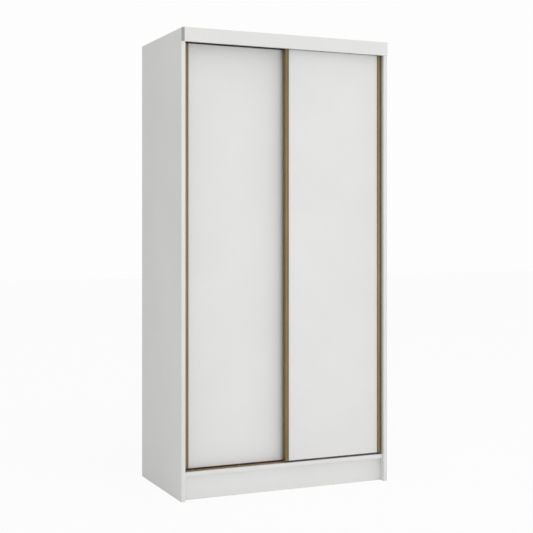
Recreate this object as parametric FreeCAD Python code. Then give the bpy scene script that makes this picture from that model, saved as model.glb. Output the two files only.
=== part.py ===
import FreeCAD, Part
import math
import os

# Sliding door wardrobe: a flat-packed carcass of coated boards with two doors that hang
# in a double track, one in front of the other.
# Units are millimetres. +X is to the right, +Y to the back, +Z up. The origin is on the
# floor, in the middle of the footprint.

# ---------------------------------------------------------------- driving dimensions

# Carcass
OVERALL_WIDTH = 1000.0
OVERALL_HEIGHT = 2010.0
CARCASS_DEPTH = 550.0          # front edges of the sides to the outer face of the back
BOARD = 18.0                   # thickness of every carcass board
FASCIA_THICKNESS = 18.0
FASCIA_HEIGHT = 59.0
FASCIA_SLANT = 8.0             # its ends lean in by this much towards the front
BACK_SHEET = 3.0
BACK_INSET = 1.0               # back sheets stop this far inside the outer faces
BACK_SEAM = 1.0                # gap between the two back sheets
GLIDE_HEIGHT = 1.0
BASE_BOTTOM = 104.0            # height of the base panel's underside above the floor
BASE_SETBACK = 12.0            # base panel's front edge behind the sides' front edges
PLINTH_SETBACK = 30.0
PLINTH_REAR_SETBACK = 40.0
PARTITION_CLEARANCE = 14.5     # rear door's hardware to the partition's front edge
SHELF_SETBACK = 3.0            # shelves' front edges behind the partition's front edge
HAT_SPACE = 294.0              # clear height above the hat shelf
SHELF_COUNT = 4
SHELF_SIDE_GAP = 1.0

# Doors
DOOR_THICKNESS = 16.0
FRONT_DOOR_SETBACK = 22.0      # front door's face behind the sides' front edges
TRACK_PITCH = 31.0             # front door's plane to rear door's plane
DOOR_SIDE_GAP = 2.5
DOOR_OVERLAP = 17.0
DOOR_BOTTOM_GAP = 8.0          # door above the base panel
DOOR_TOP_GAP = 4.5             # door below the top track
REAR_DOOR_AJAR = 10.0          # rear door stands this far short of shut

# Door stiles, a C section pressed on the panel's edge
STILE_WIDTH = 20.0
STILE_WALL = 1.5
STILE_CROWN = 5.0              # front of the section ahead of the panel's face
STILE_CORNER = 5.0             # radius of its outer corner
STILE_CURL = 4.2               # radius of its inner edge, which turns down to the panel
STILE_FALL = 0.6               # fall of the crowned face from the corner to the curl
STILE_BULGE = 0.45             # rise of the crowned face above its chord
STILE_REAR_LEG = 14.0
STILE_EDGE_FIT = 0.2           # panel edge to the inside of the section
STILE_SCREW_END = 60.0         # first screw from the stile's end
STILE_SCREW_EDGE = 4.0         # screws from the rear leg's edge
STILE_SCREWS = 4

# Tracks
TRACK_END_GAP = 0.5
BOTTOM_TRACK_PLATE = 1.5
BOTTOM_TRACK_MARGIN = 4.0      # plate beyond the centre line of a rail
RAIL_WIDTH = 2.6
RAIL_HEIGHT = 4.0
TOP_TRACK_HEIGHT = 34.0
TOP_TRACK_WALL = 1.5
TRACK_SCREW_END = 48.0         # first screw from the track's end
TRACK_SCREWS = 5

# Door rollers
WHEEL_TREAD_RADIUS = 11.0
WHEEL_FLANGE_RADIUS = 13.0
WHEEL_WIDTH = 6.0
WHEEL_GROOVE = 3.6
WHEEL_BORE_CLEARANCE = 0.05
WHEEL_SIDE_CLEARANCE = 0.5
WHEEL_RIM_CLEARANCE = 1.0
RUNNING_GAP = 0.3              # tread above the rail, guide beside the channel wall
AXLE_RADIUS = 2.0
ROLLER_INSET = 60.0            # roller centre to the door's edge
POCKET_SKIN = 3.0              # panel left in front of a pocket
POCKET_FIT = 0.1
ROLLER_WALL = 9.0              # housing beside the wheel's cavity
ROLLER_ROOF = 7.0              # housing above it
HARDWARE_FLANGE = 1.5          # thickness of the plates on the door's rear face
ROLLER_PLATE_SIDE = 9.0        # plate beyond the housing, at each side
ROLLER_PLATE_TOP = 14.0
PLATE_SCREW_EDGE = 8.0

# Spring-loaded top guides
GUIDE_INSET = 45.0
GUIDE_WIDTH = 18.0
GUIDE_THICKNESS = 7.0
GUIDE_ENGAGEMENT = 12.0        # tongue inside the channel
GUIDE_PARKED = 2.0             # what still stands above the door when it is pulled down
GUIDE_TAIL = 20.0              # length below the door's upper edge
GUIDE_SLOT_CLEARANCE = 0.2
GUIDE_SPRING_ROOM = 2.0
GUIDE_WALL = 6.0               # housing beside and below the slot
GUIDE_PLATE_SIDE = 10.0
GUIDE_PLATE_FOOT = 6.0
GUIDE_PLATE_HEAD = 1.0         # plate's top edge below the door's upper edge
GUIDE_TAB_WIDTH = 8.0
GUIDE_TAB_HEIGHT = 5.0
GUIDE_TAB_PROUD = 2.5          # release tab behind the plate
GUIDE_TAB_DROP = 17.0          # tab's underside below the door's upper edge
GUIDE_WINDOW_GAP = 1.0
GUIDE_ROUND = 4.5              # radius of the tongue's upper corners
STOP_GAP = 0.5
STOP_RECESS = 6.5              # stop's underside above the channel's lower edge

# Pile seals
SEAL_EDGE = (5.0, 2.0)         # strip on a stile's outer face: width, pile height
SEAL_OVERLAP_WIDTH = 3.5       # strip behind the front door's inner stile
SEAL_OVERLAP_INSET = 3.0       # from the stile's edge
SEAL_OVERLAP_GAP = 2.0         # its pile to the rear door's stile
SEAL_FOOT = (0.5, 3.0)         # strip under a door: behind the rear door's face, width
SEAL_FOOT_GAP = 0.5            # its pile to the track's plate or the base panel
SEAL_END_GAP = 5.0

# Knock-down fittings
CAM_RADIUS = 7.5
CAM_HEIGHT = 12.5
CAM_DISTANCE = 24.0
CAM_SLOT = (9.0, 1.6, 2.0)     # cross slot: length, width, depth
BOLT_RADIUS = 3.0
DOWEL_RADIUS = 4.0
FITTING_WEB = 2.0              # board left between fittings that enter from both faces
DOWEL_REACH = 20.0             # dowel into the board that carries it
FITTING_EDGE = 45.0            # outer fittings from a board's edge
DOWEL_OFFSET = 32.0            # dowel beside its cam

# Shelf pins, hanging rail and brackets
PIN_RADIUS = 2.5
PIN_PLUG = 9.0
PIN_HOLE_DEPTH = 10.0
PIN_PITCH = 32.0
PIN_SEAT = (7.0, 8.0, 5.0)     # seat block: out of the board, along the depth, height
PIN_EDGE = 40.0
RAIL_TUBE = (15.0, 30.0)       # oval hanging rail: width, height
RAIL_TUBE_WALL = 1.2
RAIL_DROP = 45.0               # rail's centre below the hat shelf
RAIL_SUPPORT = (24.0, 40.0, 12.0)
RAIL_SUPPORT_FLANGE = (24.0, 64.0, 2.0)
RAIL_SUPPORT_HOLE = 26.0
BRACKET_LEG = 30.0
BRACKET_THICKNESS = 2.0
BRACKET_WIDTH = 30.0
WALL_BRACKET_X = 320.0
WALL_HOLE_RADIUS = 3.0
BRACKET_HOLE = 18.0            # holes from the bracket's corner
BRACKET_SCREW_SPREAD = 7.5     # screws to each side of its middle
FASCIA_BRACKET_LEG = 18.0
FASCIA_BRACKET_HOLE = 10.8
FASCIA_BRACKET_X = 330.0
PLINTH_BLOCK = (20.0, 20.0, 60.0)
PLINTH_BLOCK_SCREWS = (45.0, 24.0)     # below the base panel: into the side, into the plinth

# Screws and nails: head radius, head height, shank radius, length under the head
SCREW_SMALL = (3.0, 1.5, 1.5, 12.0)
SCREW_TRACK = (3.5, 2.0, 1.75, 14.0)
NAIL = (2.2, 1.0, 0.8, 19.0)
NAIL_END = 98.0                # first and last nail of a level row, from the middle and the side
NAILS_UPRIGHT = 8
NAILS_LEVEL = 4
GLIDE_RADIUS = 7.5
GLIDE_NAIL = (1.0, 12.0)

OVERCUT = 1.0                  # how far a cutting tool runs past the face it enters
TOLERANCE = 1e-6

# ---------------------------------------------------------------- planes worked out once

HALF_WIDTH = OVERALL_WIDTH / 2.0
INNER_HALF = HALF_WIDTH - BOARD
BACK_Y = (CARCASS_DEPTH + FASCIA_THICKNESS) / 2.0
FRONT_Y = BACK_Y - CARCASS_DEPTH
FASCIA_FRONT_Y = FRONT_Y - FASCIA_THICKNESS
BOARD_BACK_Y = BACK_Y - BACK_SHEET
TOP_UNDERSIDE = OVERALL_HEIGHT - BOARD
BASE_TOP = BASE_BOTTOM + BOARD
FITTING_EMBED = (BOARD - FITTING_WEB) / 2.0
HAT_SHELF_BOTTOM = TOP_UNDERSIDE - HAT_SPACE - BOARD
PLINTH_Y = FRONT_Y + PLINTH_SETBACK
PLINTH_REAR_Y = BOARD_BACK_Y - PLINTH_REAR_SETBACK

DOOR_BOTTOM = BASE_TOP + DOOR_BOTTOM_GAP
DOOR_TOP = TOP_UNDERSIDE - TOP_TRACK_HEIGHT - DOOR_TOP_GAP
DOOR_WIDTH = (2.0 * INNER_HALF - 2.0 * DOOR_SIDE_GAP + DOOR_OVERLAP) / 2.0
FRONT_DOOR_Y = FRONT_Y + FRONT_DOOR_SETBACK
REAR_DOOR_Y = FRONT_DOOR_Y + TRACK_PITCH
PARTITION_Y = REAR_DOOR_Y + DOOR_THICKNESS + HARDWARE_FLANGE + PARTITION_CLEARANCE
SHELF_Y = PARTITION_Y + SHELF_SETBACK
RIGHT_DOOR_X = INNER_HALF - DOOR_SIDE_GAP - DOOR_WIDTH
LEFT_DOOR_X = -INNER_HALF + DOOR_SIDE_GAP + REAR_DOOR_AJAR
HARDWARE_CENTRE = DOOR_THICKNESS / 2.0      # wheel and guide plane behind the door's face
BOTTOM_PLATE_TOP = BASE_TOP + BOTTOM_TRACK_PLATE
RAIL_TOP = BOTTOM_PLATE_TOP + RAIL_HEIGHT
WHEEL_Z = RAIL_TOP + RUNNING_GAP + WHEEL_TREAD_RADIUS
CHANNEL_HALF = GUIDE_THICKNESS / 2.0 + RUNNING_GAP
GUIDE_RISE = DOOR_TOP_GAP + GUIDE_ENGAGEMENT
GUIDE_TRAVEL = GUIDE_RISE - GUIDE_PARKED
TRACK_MID_Y = (FRONT_DOOR_Y + REAR_DOOR_Y) / 2.0 + HARDWARE_CENTRE

X_AXIS = FreeCAD.Vector(1, 0, 0)
Y_AXIS = FreeCAD.Vector(0, 1, 0)
Z_AXIS = FreeCAD.Vector(0, 0, 1)

SOLIDS = {}     # node name to the solids that make it
CUTS = {}       # node name to the tools that are cut from it


# ---------------------------------------------------------------- helpers

def vec(x, y, z):
    return FreeCAD.Vector(x, y, z)


def box(x0, x1, y0, y1, z0, z1):
    return Part.makeBox(x1 - x0, y1 - y0, z1 - z0, vec(x0, y0, z0))


def block(centre, *spans):
    """A box about its middle. Each span is a unit vector along an axis and a length."""
    size = vec(0, 0, 0)
    for way, length in spans:
        size += vec(abs(way.x), abs(way.y), abs(way.z)) * length
    return Part.makeBox(size.x, size.y, size.z, centre - size / 2)


def rod(start, direction, radius, length):
    return Part.makeCylinder(radius, length, start, direction)


def add(name, *solids):
    SOLIDS.setdefault(name, []).extend(solids)


def drill(tool, *names):
    for name in names:
        CUTS.setdefault(name, []).append(tool)


def prism(points, direction):
    """Extrude a closed outline. A point given as a pair is an arc's middle and end."""
    edges = []
    here = points[0]
    for item in points[1:]:
        if isinstance(item, tuple):
            middle, end = item
            edges.append(Part.Arc(here, middle, end).toShape())
            here = end
        else:
            edges.append(Part.LineSegment(here, item).toShape())
            here = item
    edges.append(Part.LineSegment(here, points[0]).toShape())
    return Part.Face(Part.Wire(edges)).extrude(direction)


def oval(x0, x1, y, z, width, height):
    """A rod along X with a stadium section that stands upright."""
    r = width / 2.0
    half = height / 2.0 - r
    corners = [vec(x0, y + r, z - half), vec(x0, y + r, z + half), vec(x0, y - r, z + half),
               vec(x0, y - r, z - half)]
    edges = [
        Part.LineSegment(corners[0], corners[1]).toShape(),
        Part.Arc(corners[1], vec(x0, y, z + half + r), corners[2]).toShape(),
        Part.LineSegment(corners[2], corners[3]).toShape(),
        Part.Arc(corners[3], vec(x0, y, z - half - r), corners[0]).toShape(),
    ]
    return Part.Face(Part.Wire(edges)).extrude(vec(x1 - x0, 0, 0))


def screw(node, size, seat, direction, *boards):
    """A pan head screw. seat is under its head, and direction is the way it is driven."""
    head_radius, head_height, shank_radius, length = size
    head = rod(seat, direction * -1.0, head_radius, head_height)
    shank = rod(seat, direction, shank_radius, length)
    add(node, head.fuse(shank).removeSplitter())
    drill(shank, *boards)


def spread(first, last, count):
    step = (last - first) / (count - 1)
    return [first + step * i for i in range(count)]


# ---------------------------------------------------------------- carcass boards

def carcass_boards():
    add("left_side_panel",
        box(-HALF_WIDTH, -INNER_HALF, FRONT_Y, BOARD_BACK_Y, GLIDE_HEIGHT, OVERALL_HEIGHT))
    add("right_side_panel",
        box(INNER_HALF, HALF_WIDTH, FRONT_Y, BOARD_BACK_Y, GLIDE_HEIGHT, OVERALL_HEIGHT))
    add("top_panel",
        box(-INNER_HALF, INNER_HALF, FRONT_Y, BOARD_BACK_Y, TOP_UNDERSIDE, OVERALL_HEIGHT))
    add("base_panel",
        box(-INNER_HALF, INNER_HALF, FRONT_Y + BASE_SETBACK, BOARD_BACK_Y, BASE_BOTTOM, BASE_TOP))
    add("partition",
        box(-BOARD / 2, BOARD / 2, PARTITION_Y, BOARD_BACK_Y, BASE_TOP, TOP_UNDERSIDE))
    add("plinth_front",
        box(-INNER_HALF, INNER_HALF, PLINTH_Y, PLINTH_Y + BOARD, GLIDE_HEIGHT, BASE_BOTTOM))
    add("plinth_rear",
        box(-INNER_HALF, INNER_HALF, PLINTH_REAR_Y - BOARD, PLINTH_REAR_Y, GLIDE_HEIGHT,
            BASE_BOTTOM))
    add("plinth_stretcher",
        box(-BOARD / 2, BOARD / 2, PLINTH_Y + BOARD, PLINTH_REAR_Y - BOARD, GLIDE_HEIGHT,
            BASE_BOTTOM))
    low = OVERALL_HEIGHT - FASCIA_HEIGHT
    front_x = HALF_WIDTH - FASCIA_SLANT
    add("fascia",
        prism([vec(-HALF_WIDTH, FRONT_Y, low), vec(HALF_WIDTH, FRONT_Y, low),
               vec(front_x, FASCIA_FRONT_Y, low), vec(-front_x, FASCIA_FRONT_Y, low)],
              vec(0, 0, FASCIA_HEIGHT)))
    hat_top = HAT_SHELF_BOTTOM + BOARD
    add("hat_shelf",
        box(-INNER_HALF, -BOARD / 2, SHELF_Y, BOARD_BACK_Y, HAT_SHELF_BOTTOM, hat_top))
    add("fixed_shelf",
        box(BOARD / 2, INNER_HALF, SHELF_Y, BOARD_BACK_Y, HAT_SHELF_BOTTOM, hat_top))


def shelf_bottoms():
    bay = (HAT_SHELF_BOTTOM - BASE_TOP - SHELF_COUNT * BOARD) / (SHELF_COUNT + 1)
    return [BASE_TOP + bay + i * (bay + BOARD) for i in range(SHELF_COUNT)]


def adjustable_shelves():
    """Loose shelves on four pins each, with one spare hole above and below each pin."""
    x0 = BOARD / 2
    x1 = INNER_HALF
    seat_out, seat_along, seat_height = PIN_SEAT
    rows = (SHELF_Y + PIN_EDGE, BOARD_BACK_Y - PIN_EDGE)
    for number, bottom in enumerate(shelf_bottoms(), 1):
        add(f"shelf_{number}",
            box(x0 + SHELF_SIDE_GAP, x1 - SHELF_SIDE_GAP, SHELF_Y, BOARD_BACK_Y - SHELF_SIDE_GAP,
                bottom, bottom + BOARD))
        for face, inward, board in ((x0, 1, "partition"), (x1, -1, "right_side_panel")):
            for y in rows:
                z = bottom - seat_height / 2
                seat = box(min(face, face + inward * seat_out), max(face, face + inward * seat_out),
                           y - seat_along / 2, y + seat_along / 2, bottom - seat_height, bottom)
                plug = rod(vec(face, y, z), X_AXIS * -inward, PIN_RADIUS, PIN_PLUG)
                add("shelf_pins", seat.fuse(plug))
                for step in (-1, 0, 1):
                    hole = rod(vec(face, y, z + step * PIN_PITCH), X_AXIS * -inward, PIN_RADIUS,
                               PIN_HOLE_DEPTH)
                    drill(hole, board)


# ---------------------------------------------------------------- knock-down fittings

def fitting(face_point, into, cam_axis, carrier, receiver):
    """A cam and its bolt. into points from the joint into the carrier board."""
    centre = face_point + into * CAM_DISTANCE
    mouth = centre - cam_axis * (BOARD / 2)
    cam_hole = rod(mouth, cam_axis, CAM_RADIUS, CAM_HEIGHT)
    bolt = rod(face_point - into * FITTING_EMBED, into, BOLT_RADIUS, FITTING_EMBED + CAM_DISTANCE)
    length, width, depth = CAM_SLOT
    across = cam_axis.cross(into)
    cam = cam_hole
    for along, side in ((into, across), (across, into)):
        cam = cam.cut(block(mouth, (along, length), (side, width), (cam_axis, 2 * depth)))
    add("cam_locks", cam.cut(bolt))
    add("cam_bolts", bolt)
    drill(cam_hole, carrier)
    drill(bolt, carrier, receiver)


def dowel(face_point, into, carrier, receiver):
    peg = rod(face_point - into * FITTING_EMBED, into, DOWEL_RADIUS, FITTING_EMBED + DOWEL_REACH)
    add("dowels", peg)
    drill(peg, carrier, receiver)


def board_joints():
    """Cams and dowels at both ends of every fixed horizontal board and of the partition."""
    sides = ((-INNER_HALF, X_AXIS, "left_side_panel"), (INNER_HALF, X_AXIS * -1, "right_side_panel"))
    top_rows = spread(FRONT_Y + FITTING_EDGE, BOARD_BACK_Y - FITTING_EDGE, 3)
    block_depth = PLINTH_BLOCK[1]
    base_rows = spread(PLINTH_Y + BOARD + block_depth + FITTING_EDGE,
                       PLINTH_REAR_Y - BOARD - block_depth - FITTING_EDGE, 3)
    for panel, z, rows in (("top_panel", TOP_UNDERSIDE + BOARD / 2, top_rows),
                           ("base_panel", BASE_BOTTOM + BOARD / 2, base_rows)):
        for x, into, side in sides:
            for y, step in zip(rows, (DOWEL_OFFSET, DOWEL_OFFSET, -DOWEL_OFFSET)):
                fitting(vec(x, y, z), into, Z_AXIS, panel, side)
                dowel(vec(x, y + step, z), into, panel, side)
    inner = (SHELF_Y + FITTING_EDGE, BOARD_BACK_Y - FITTING_EDGE)
    shelf_z = HAT_SHELF_BOTTOM + BOARD / 2
    ends = (
        ("hat_shelf", -INNER_HALF, X_AXIS, "left_side_panel"),
        ("hat_shelf", -BOARD / 2, X_AXIS * -1, "partition"),
        ("fixed_shelf", BOARD / 2, X_AXIS, "partition"),
        ("fixed_shelf", INNER_HALF, X_AXIS * -1, "right_side_panel"),
    )
    for shelf, x, into, receiver in ends:
        for y, step in zip(inner, (DOWEL_OFFSET, -DOWEL_OFFSET)):
            fitting(vec(x, y, shelf_z), into, Z_AXIS, shelf, receiver)
            dowel(vec(x, y + step, shelf_z), into, shelf, receiver)
    for z, into, receiver in ((BASE_TOP, Z_AXIS, "base_panel"),
                              (TOP_UNDERSIDE, Z_AXIS * -1, "top_panel")):
        for y, step in zip(inner, (DOWEL_OFFSET, -DOWEL_OFFSET)):
            fitting(vec(0, y, z), into, X_AXIS, "partition", receiver)
            dowel(vec(0, y + step, z), into, "partition", receiver)


def plinth_joints():
    """Dowels at the plinth boards' ends and screwed corner blocks behind them."""
    width, depth, height = PLINTH_BLOCK
    mid_z = BASE_BOTTOM / 2
    rows = (
        ("plinth_front", PLINTH_Y + BOARD / 2, PLINTH_Y + BOARD, 1),
        ("plinth_rear", PLINTH_REAR_Y - BOARD / 2, PLINTH_REAR_Y - BOARD, -1),
    )
    for board, mid_y, face_y, way in rows:
        for side, name in ((-1, "left_side_panel"), (1, "right_side_panel")):
            dowel(vec(side * INNER_HALF, mid_y, mid_z), X_AXIS * -side, board, name)
            x0 = min(side * INNER_HALF, side * (INNER_HALF - width))
            y0 = min(face_y, face_y + way * depth)
            add("plinth_blocks", box(x0, x0 + width, y0, y0 + depth, BASE_BOTTOM - height,
                                     BASE_BOTTOM))
            centre = vec(x0 + width / 2, y0 + depth / 2, 0)
            low, high = [BASE_BOTTOM - drop for drop in PLINTH_BLOCK_SCREWS]
            seat_x = vec(side * (INNER_HALF - width), centre.y, low)
            seat_y = vec(centre.x, face_y + way * depth, high)
            screw("carcass_screws", longer(SCREW_SMALL, width), seat_x, X_AXIS * side, name,
                  "plinth_blocks")
            screw("carcass_screws", longer(SCREW_SMALL, depth), seat_y, Y_AXIS * -way, board,
                  "plinth_blocks")
        dowel(vec(0, face_y, mid_z), Y_AXIS * way, "plinth_stretcher", board)


def longer(size, extra):
    """The same screw, long enough to pass through a piece of that thickness first."""
    head_radius, head_height, shank_radius, length = size
    return (head_radius, head_height, shank_radius, length + extra)


# ---------------------------------------------------------------- back, feet, brackets

def back_sheets():
    top = OVERALL_HEIGHT - BACK_INSET
    outer = HALF_WIDTH - BACK_INSET
    seam = BACK_SEAM / 2
    add("back_panel_left", box(-outer, -seam, BOARD_BACK_Y, BACK_Y, BASE_BOTTOM, top))
    add("back_panel_right", box(seam, outer, BOARD_BACK_Y, BACK_Y, BASE_BOTTOM, top))
    side_x = HALF_WIDTH - BOARD / 2
    seam_x = BOARD / 4
    for side, sheet, panel in ((-1, "back_panel_left", "left_side_panel"),
                               (1, "back_panel_right", "right_side_panel")):
        for z in spread(BASE_TOP + BOARD, TOP_UNDERSIDE - BOARD, NAILS_UPRIGHT):
            nail(side * side_x, z, sheet, panel)
            nail(side * seam_x, z, sheet, "partition")
        for x in spread(NAIL_END, side_x - NAIL_END, NAILS_LEVEL):
            nail(side * x, OVERALL_HEIGHT - BOARD / 2, sheet, "top_panel")
            nail(side * x, BASE_BOTTOM + BOARD / 2, sheet, "base_panel")


def nail(x, z, *boards):
    """A back nail, driven until its head is flush with the sheet."""
    head_radius, head_height, shank_radius, length = NAIL
    head = rod(vec(x, BACK_Y, z), Y_AXIS * -1, head_radius, head_height)
    shank = rod(vec(x, BACK_Y - head_height, z), Y_AXIS * -1, shank_radius, length)
    whole = head.fuse(shank)
    add("back_nails", whole)
    drill(whole, *boards)


def floor_glides():
    side_x = HALF_WIDTH - BOARD / 2
    places = [(side * side_x, y, name)
              for side, name in ((-1, "left_side_panel"), (1, "right_side_panel"))
              for y in (FRONT_Y + FITTING_EDGE, BOARD_BACK_Y - FITTING_EDGE)]
    places += [(x, y, name)
               for x in (-INNER_HALF / 2, INNER_HALF / 2)
               for y, name in ((PLINTH_Y + BOARD / 2, "plinth_front"),
                               (PLINTH_REAR_Y - BOARD / 2, "plinth_rear"))]
    nail_radius, nail_length = GLIDE_NAIL
    for x, y, name in places:
        disc = rod(vec(x, y, 0), Z_AXIS, GLIDE_RADIUS, GLIDE_HEIGHT)
        pin = rod(vec(x, y, GLIDE_HEIGHT), Z_AXIS, nail_radius, nail_length)
        add("floor_glides", disc.fuse(pin))
        drill(pin, name)


def angle(x, y_face, way, z_top, leg, width, thickness):
    """An angle bracket under a board, with its upright leg against the face at y_face."""
    y1 = y_face + way * leg
    y2 = y_face + way * thickness
    flat = box(x - width / 2, x + width / 2, min(y_face, y1), max(y_face, y1), z_top - thickness,
               z_top)
    upright = box(x - width / 2, x + width / 2, min(y_face, y2), max(y_face, y2), z_top - leg,
                  z_top)
    return flat.fuse(upright).removeSplitter()


def wall_brackets():
    """Two steel angles under the top panel, with a hole through the back to the wall."""
    for side, sheet in ((-1, "back_panel_left"), (1, "back_panel_right")):
        x = side * WALL_BRACKET_X
        add("wall_brackets", angle(x, BOARD_BACK_Y, -1, TOP_UNDERSIDE, BRACKET_LEG, BRACKET_WIDTH,
                                   BRACKET_THICKNESS))
        hole = rod(vec(x, BOARD_BACK_Y - BRACKET_THICKNESS, TOP_UNDERSIDE - BRACKET_HOLE),
                   Y_AXIS, WALL_HOLE_RADIUS, BRACKET_THICKNESS + BACK_SHEET)
        drill(hole, "wall_brackets", sheet)
        for step in (-1, 1):
            seat = vec(x + step * BRACKET_SCREW_SPREAD, BOARD_BACK_Y - BRACKET_HOLE,
                       TOP_UNDERSIDE - BRACKET_THICKNESS)
            screw("carcass_screws", SCREW_SMALL, seat, Z_AXIS, "wall_brackets", "top_panel")


def fascia_brackets():
    """Small angles behind the fascia, and dowels into the boards' front edges."""
    leg = FASCIA_BRACKET_LEG
    for x in (-FASCIA_BRACKET_X, 0.0, FASCIA_BRACKET_X):
        add("fascia_brackets", angle(x, FRONT_Y, 1, TOP_UNDERSIDE, leg, leg, BRACKET_THICKNESS))
        up = vec(x, FRONT_Y + FASCIA_BRACKET_HOLE, TOP_UNDERSIDE - BRACKET_THICKNESS)
        screw("carcass_screws", SCREW_SMALL, up, Z_AXIS, "fascia_brackets", "top_panel")
        out = vec(x, FRONT_Y + BRACKET_THICKNESS, TOP_UNDERSIDE - FASCIA_BRACKET_HOLE)
        screw("carcass_screws", SCREW_SMALL, out, Y_AXIS * -1, "fascia_brackets", "fascia")
    for x in (-FASCIA_BRACKET_X / 2, FASCIA_BRACKET_X / 2):
        dowel(vec(x, FRONT_Y, OVERALL_HEIGHT - BOARD / 2), Y_AXIS, "top_panel", "fascia")


def hanging_rail():
    """An oval tube in two screwed sockets under the hat shelf."""
    width, height = RAIL_TUBE
    y = (SHELF_Y + BOARD_BACK_Y) / 2
    z = HAT_SHELF_BOTTOM - RAIL_DROP
    left = -INNER_HALF
    right = -BOARD / 2
    plate = RAIL_SUPPORT_FLANGE[2]
    outer = oval(left + plate, right - plate, y, z, width, height)
    bore = oval(left + plate, right - plate, y, z, width - 2 * RAIL_TUBE_WALL,
                height - 2 * RAIL_TUBE_WALL)
    add("hanging_rail", outer.cut(bore))
    for face, way, board in ((left, 1, "left_side_panel"), (right, -1, "partition")):
        collar = oval(face, face + way * RAIL_SUPPORT[2], y, z, RAIL_SUPPORT[0], RAIL_SUPPORT[1])
        flange = oval(face, face + way * plate, y, z, RAIL_SUPPORT_FLANGE[0],
                      RAIL_SUPPORT_FLANGE[1])
        add("rail_supports", collar.fuse(flange).cut(outer))
        for step in (-1, 1):
            seat = vec(face + way * plate, y, z + step * RAIL_SUPPORT_HOLE)
            screw("carcass_screws", SCREW_SMALL, seat, X_AXIS * -way, "rail_supports", board)


# ---------------------------------------------------------------- tracks

def door_lines():
    """The planes of the front and rear rails, at the middle of each door."""
    return (FRONT_DOOR_Y + HARDWARE_CENTRE, REAR_DOOR_Y + HARDWARE_CENTRE)


def bottom_track():
    half = INNER_HALF - TRACK_END_GAP
    front, rear = door_lines()
    track = box(-half, half, front - BOTTOM_TRACK_MARGIN, rear + BOTTOM_TRACK_MARGIN, BASE_TOP,
                BOTTOM_PLATE_TOP)
    r = RAIL_WIDTH / 2
    for y in (front, rear):
        outline = [
            vec(-half, y - r, BOTTOM_PLATE_TOP),
            vec(-half, y - r, RAIL_TOP - r),
            (vec(-half, y, RAIL_TOP), vec(-half, y + r, RAIL_TOP - r)),
            vec(-half, y + r, BOTTOM_PLATE_TOP),
        ]
        track = track.fuse(prism(outline, vec(2 * half, 0, 0)))
    add("bottom_track", track.removeSplitter())
    for x in spread(-half + TRACK_SCREW_END, half - TRACK_SCREW_END, TRACK_SCREWS):
        screw("track_screws", SCREW_TRACK, vec(x, TRACK_MID_Y, BOTTOM_PLATE_TOP), Z_AXIS * -1,
              "bottom_track", "base_panel")


def top_track():
    half = INNER_HALF - TRACK_END_GAP
    wall = TOP_TRACK_WALL
    low = TOP_UNDERSIDE - TOP_TRACK_HEIGHT
    front, rear = door_lines()
    outer = CHANNEL_HALF + wall
    track = box(-half, half, front - outer, rear + outer, TOP_UNDERSIDE - wall, TOP_UNDERSIDE)
    for y in (front, rear):
        for inner in (y - outer, y + CHANNEL_HALF):
            track = track.fuse(box(-half, half, inner, inner + wall, low, TOP_UNDERSIDE))
    add("top_track", track.removeSplitter())
    for x in spread(-half + TRACK_SCREW_END, half - TRACK_SCREW_END, TRACK_SCREWS):
        screw("track_screws", SCREW_TRACK, vec(x, TRACK_MID_Y, TOP_UNDERSIDE - wall), Z_AXIS,
              "top_track", "top_panel")


def door_stops():
    """Rubber blocks that fill the top channels out to where a shut door's guide ends."""
    length = DOOR_SIDE_GAP + GUIDE_INSET - GUIDE_WIDTH / 2 - STOP_GAP
    z0 = TOP_UNDERSIDE - TOP_TRACK_HEIGHT + STOP_RECESS
    z1 = TOP_UNDERSIDE - TOP_TRACK_WALL
    for y in door_lines():
        for side in (-1, 1):
            x0 = min(side * INNER_HALF, side * (INNER_HALF - length))
            add("door_stops", box(x0, x0 + length, y - CHANNEL_HALF, y + CHANNEL_HALF, z0, z1))


# ---------------------------------------------------------------- doors

def stile(edge_x, inward, face_y):
    """The section is drawn outwards from the panel's edge and runs the door's height."""
    wall = STILE_WALL
    back = DOOR_THICKNESS
    front = -STILE_CROWN
    corner = STILE_CORNER
    curl = STILE_CURL
    curl_front = front + STILE_FALL
    curl_u = STILE_WIDTH - curl
    lean = 1.0 - math.sqrt(0.5)

    def at(u, d):
        return vec(edge_x + inward * u, face_y + d, DOOR_BOTTOM)

    outline = [
        at(0, back + wall),
        at(0, front + corner),
        (at(corner * lean, front + corner * lean), at(corner, front)),
        (at((corner + curl_u) / 2, (front + curl_front) / 2 - STILE_BULGE), at(curl_u, curl_front)),
        (at(STILE_WIDTH - curl * lean, curl_front + curl * lean),
         at(STILE_WIDTH, curl_front + curl)),
        at(STILE_WIDTH, 0),
        at(STILE_WIDTH - wall, 0),
        at(wall, front + wall),
        at(wall, back),
        at(STILE_REAR_LEG, back),
        at(STILE_REAR_LEG, back + wall),
    ]
    return prism(outline, vec(0, 0, DOOR_TOP - DOOR_BOTTOM))


def wheel(x, face_y):
    """A grooved nylon wheel that straddles its rail."""
    y0 = face_y + HARDWARE_CENTRE - WHEEL_WIDTH / 2
    start = vec(x, y0, WHEEL_Z)
    body = rod(start, Y_AXIS, WHEEL_FLANGE_RADIUS, WHEEL_WIDTH)
    groove_start = vec(x, face_y + HARDWARE_CENTRE - WHEEL_GROOVE / 2, WHEEL_Z)
    groove = rod(groove_start, Y_AXIS, WHEEL_FLANGE_RADIUS + OVERCUT, WHEEL_GROOVE)
    tread = rod(groove_start, Y_AXIS, WHEEL_TREAD_RADIUS, WHEEL_GROOVE)
    bore = rod(start, Y_AXIS, AXLE_RADIUS + WHEEL_BORE_CLEARANCE, WHEEL_WIDTH)
    return body.cut(groove.cut(tread)).cut(bore)


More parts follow.
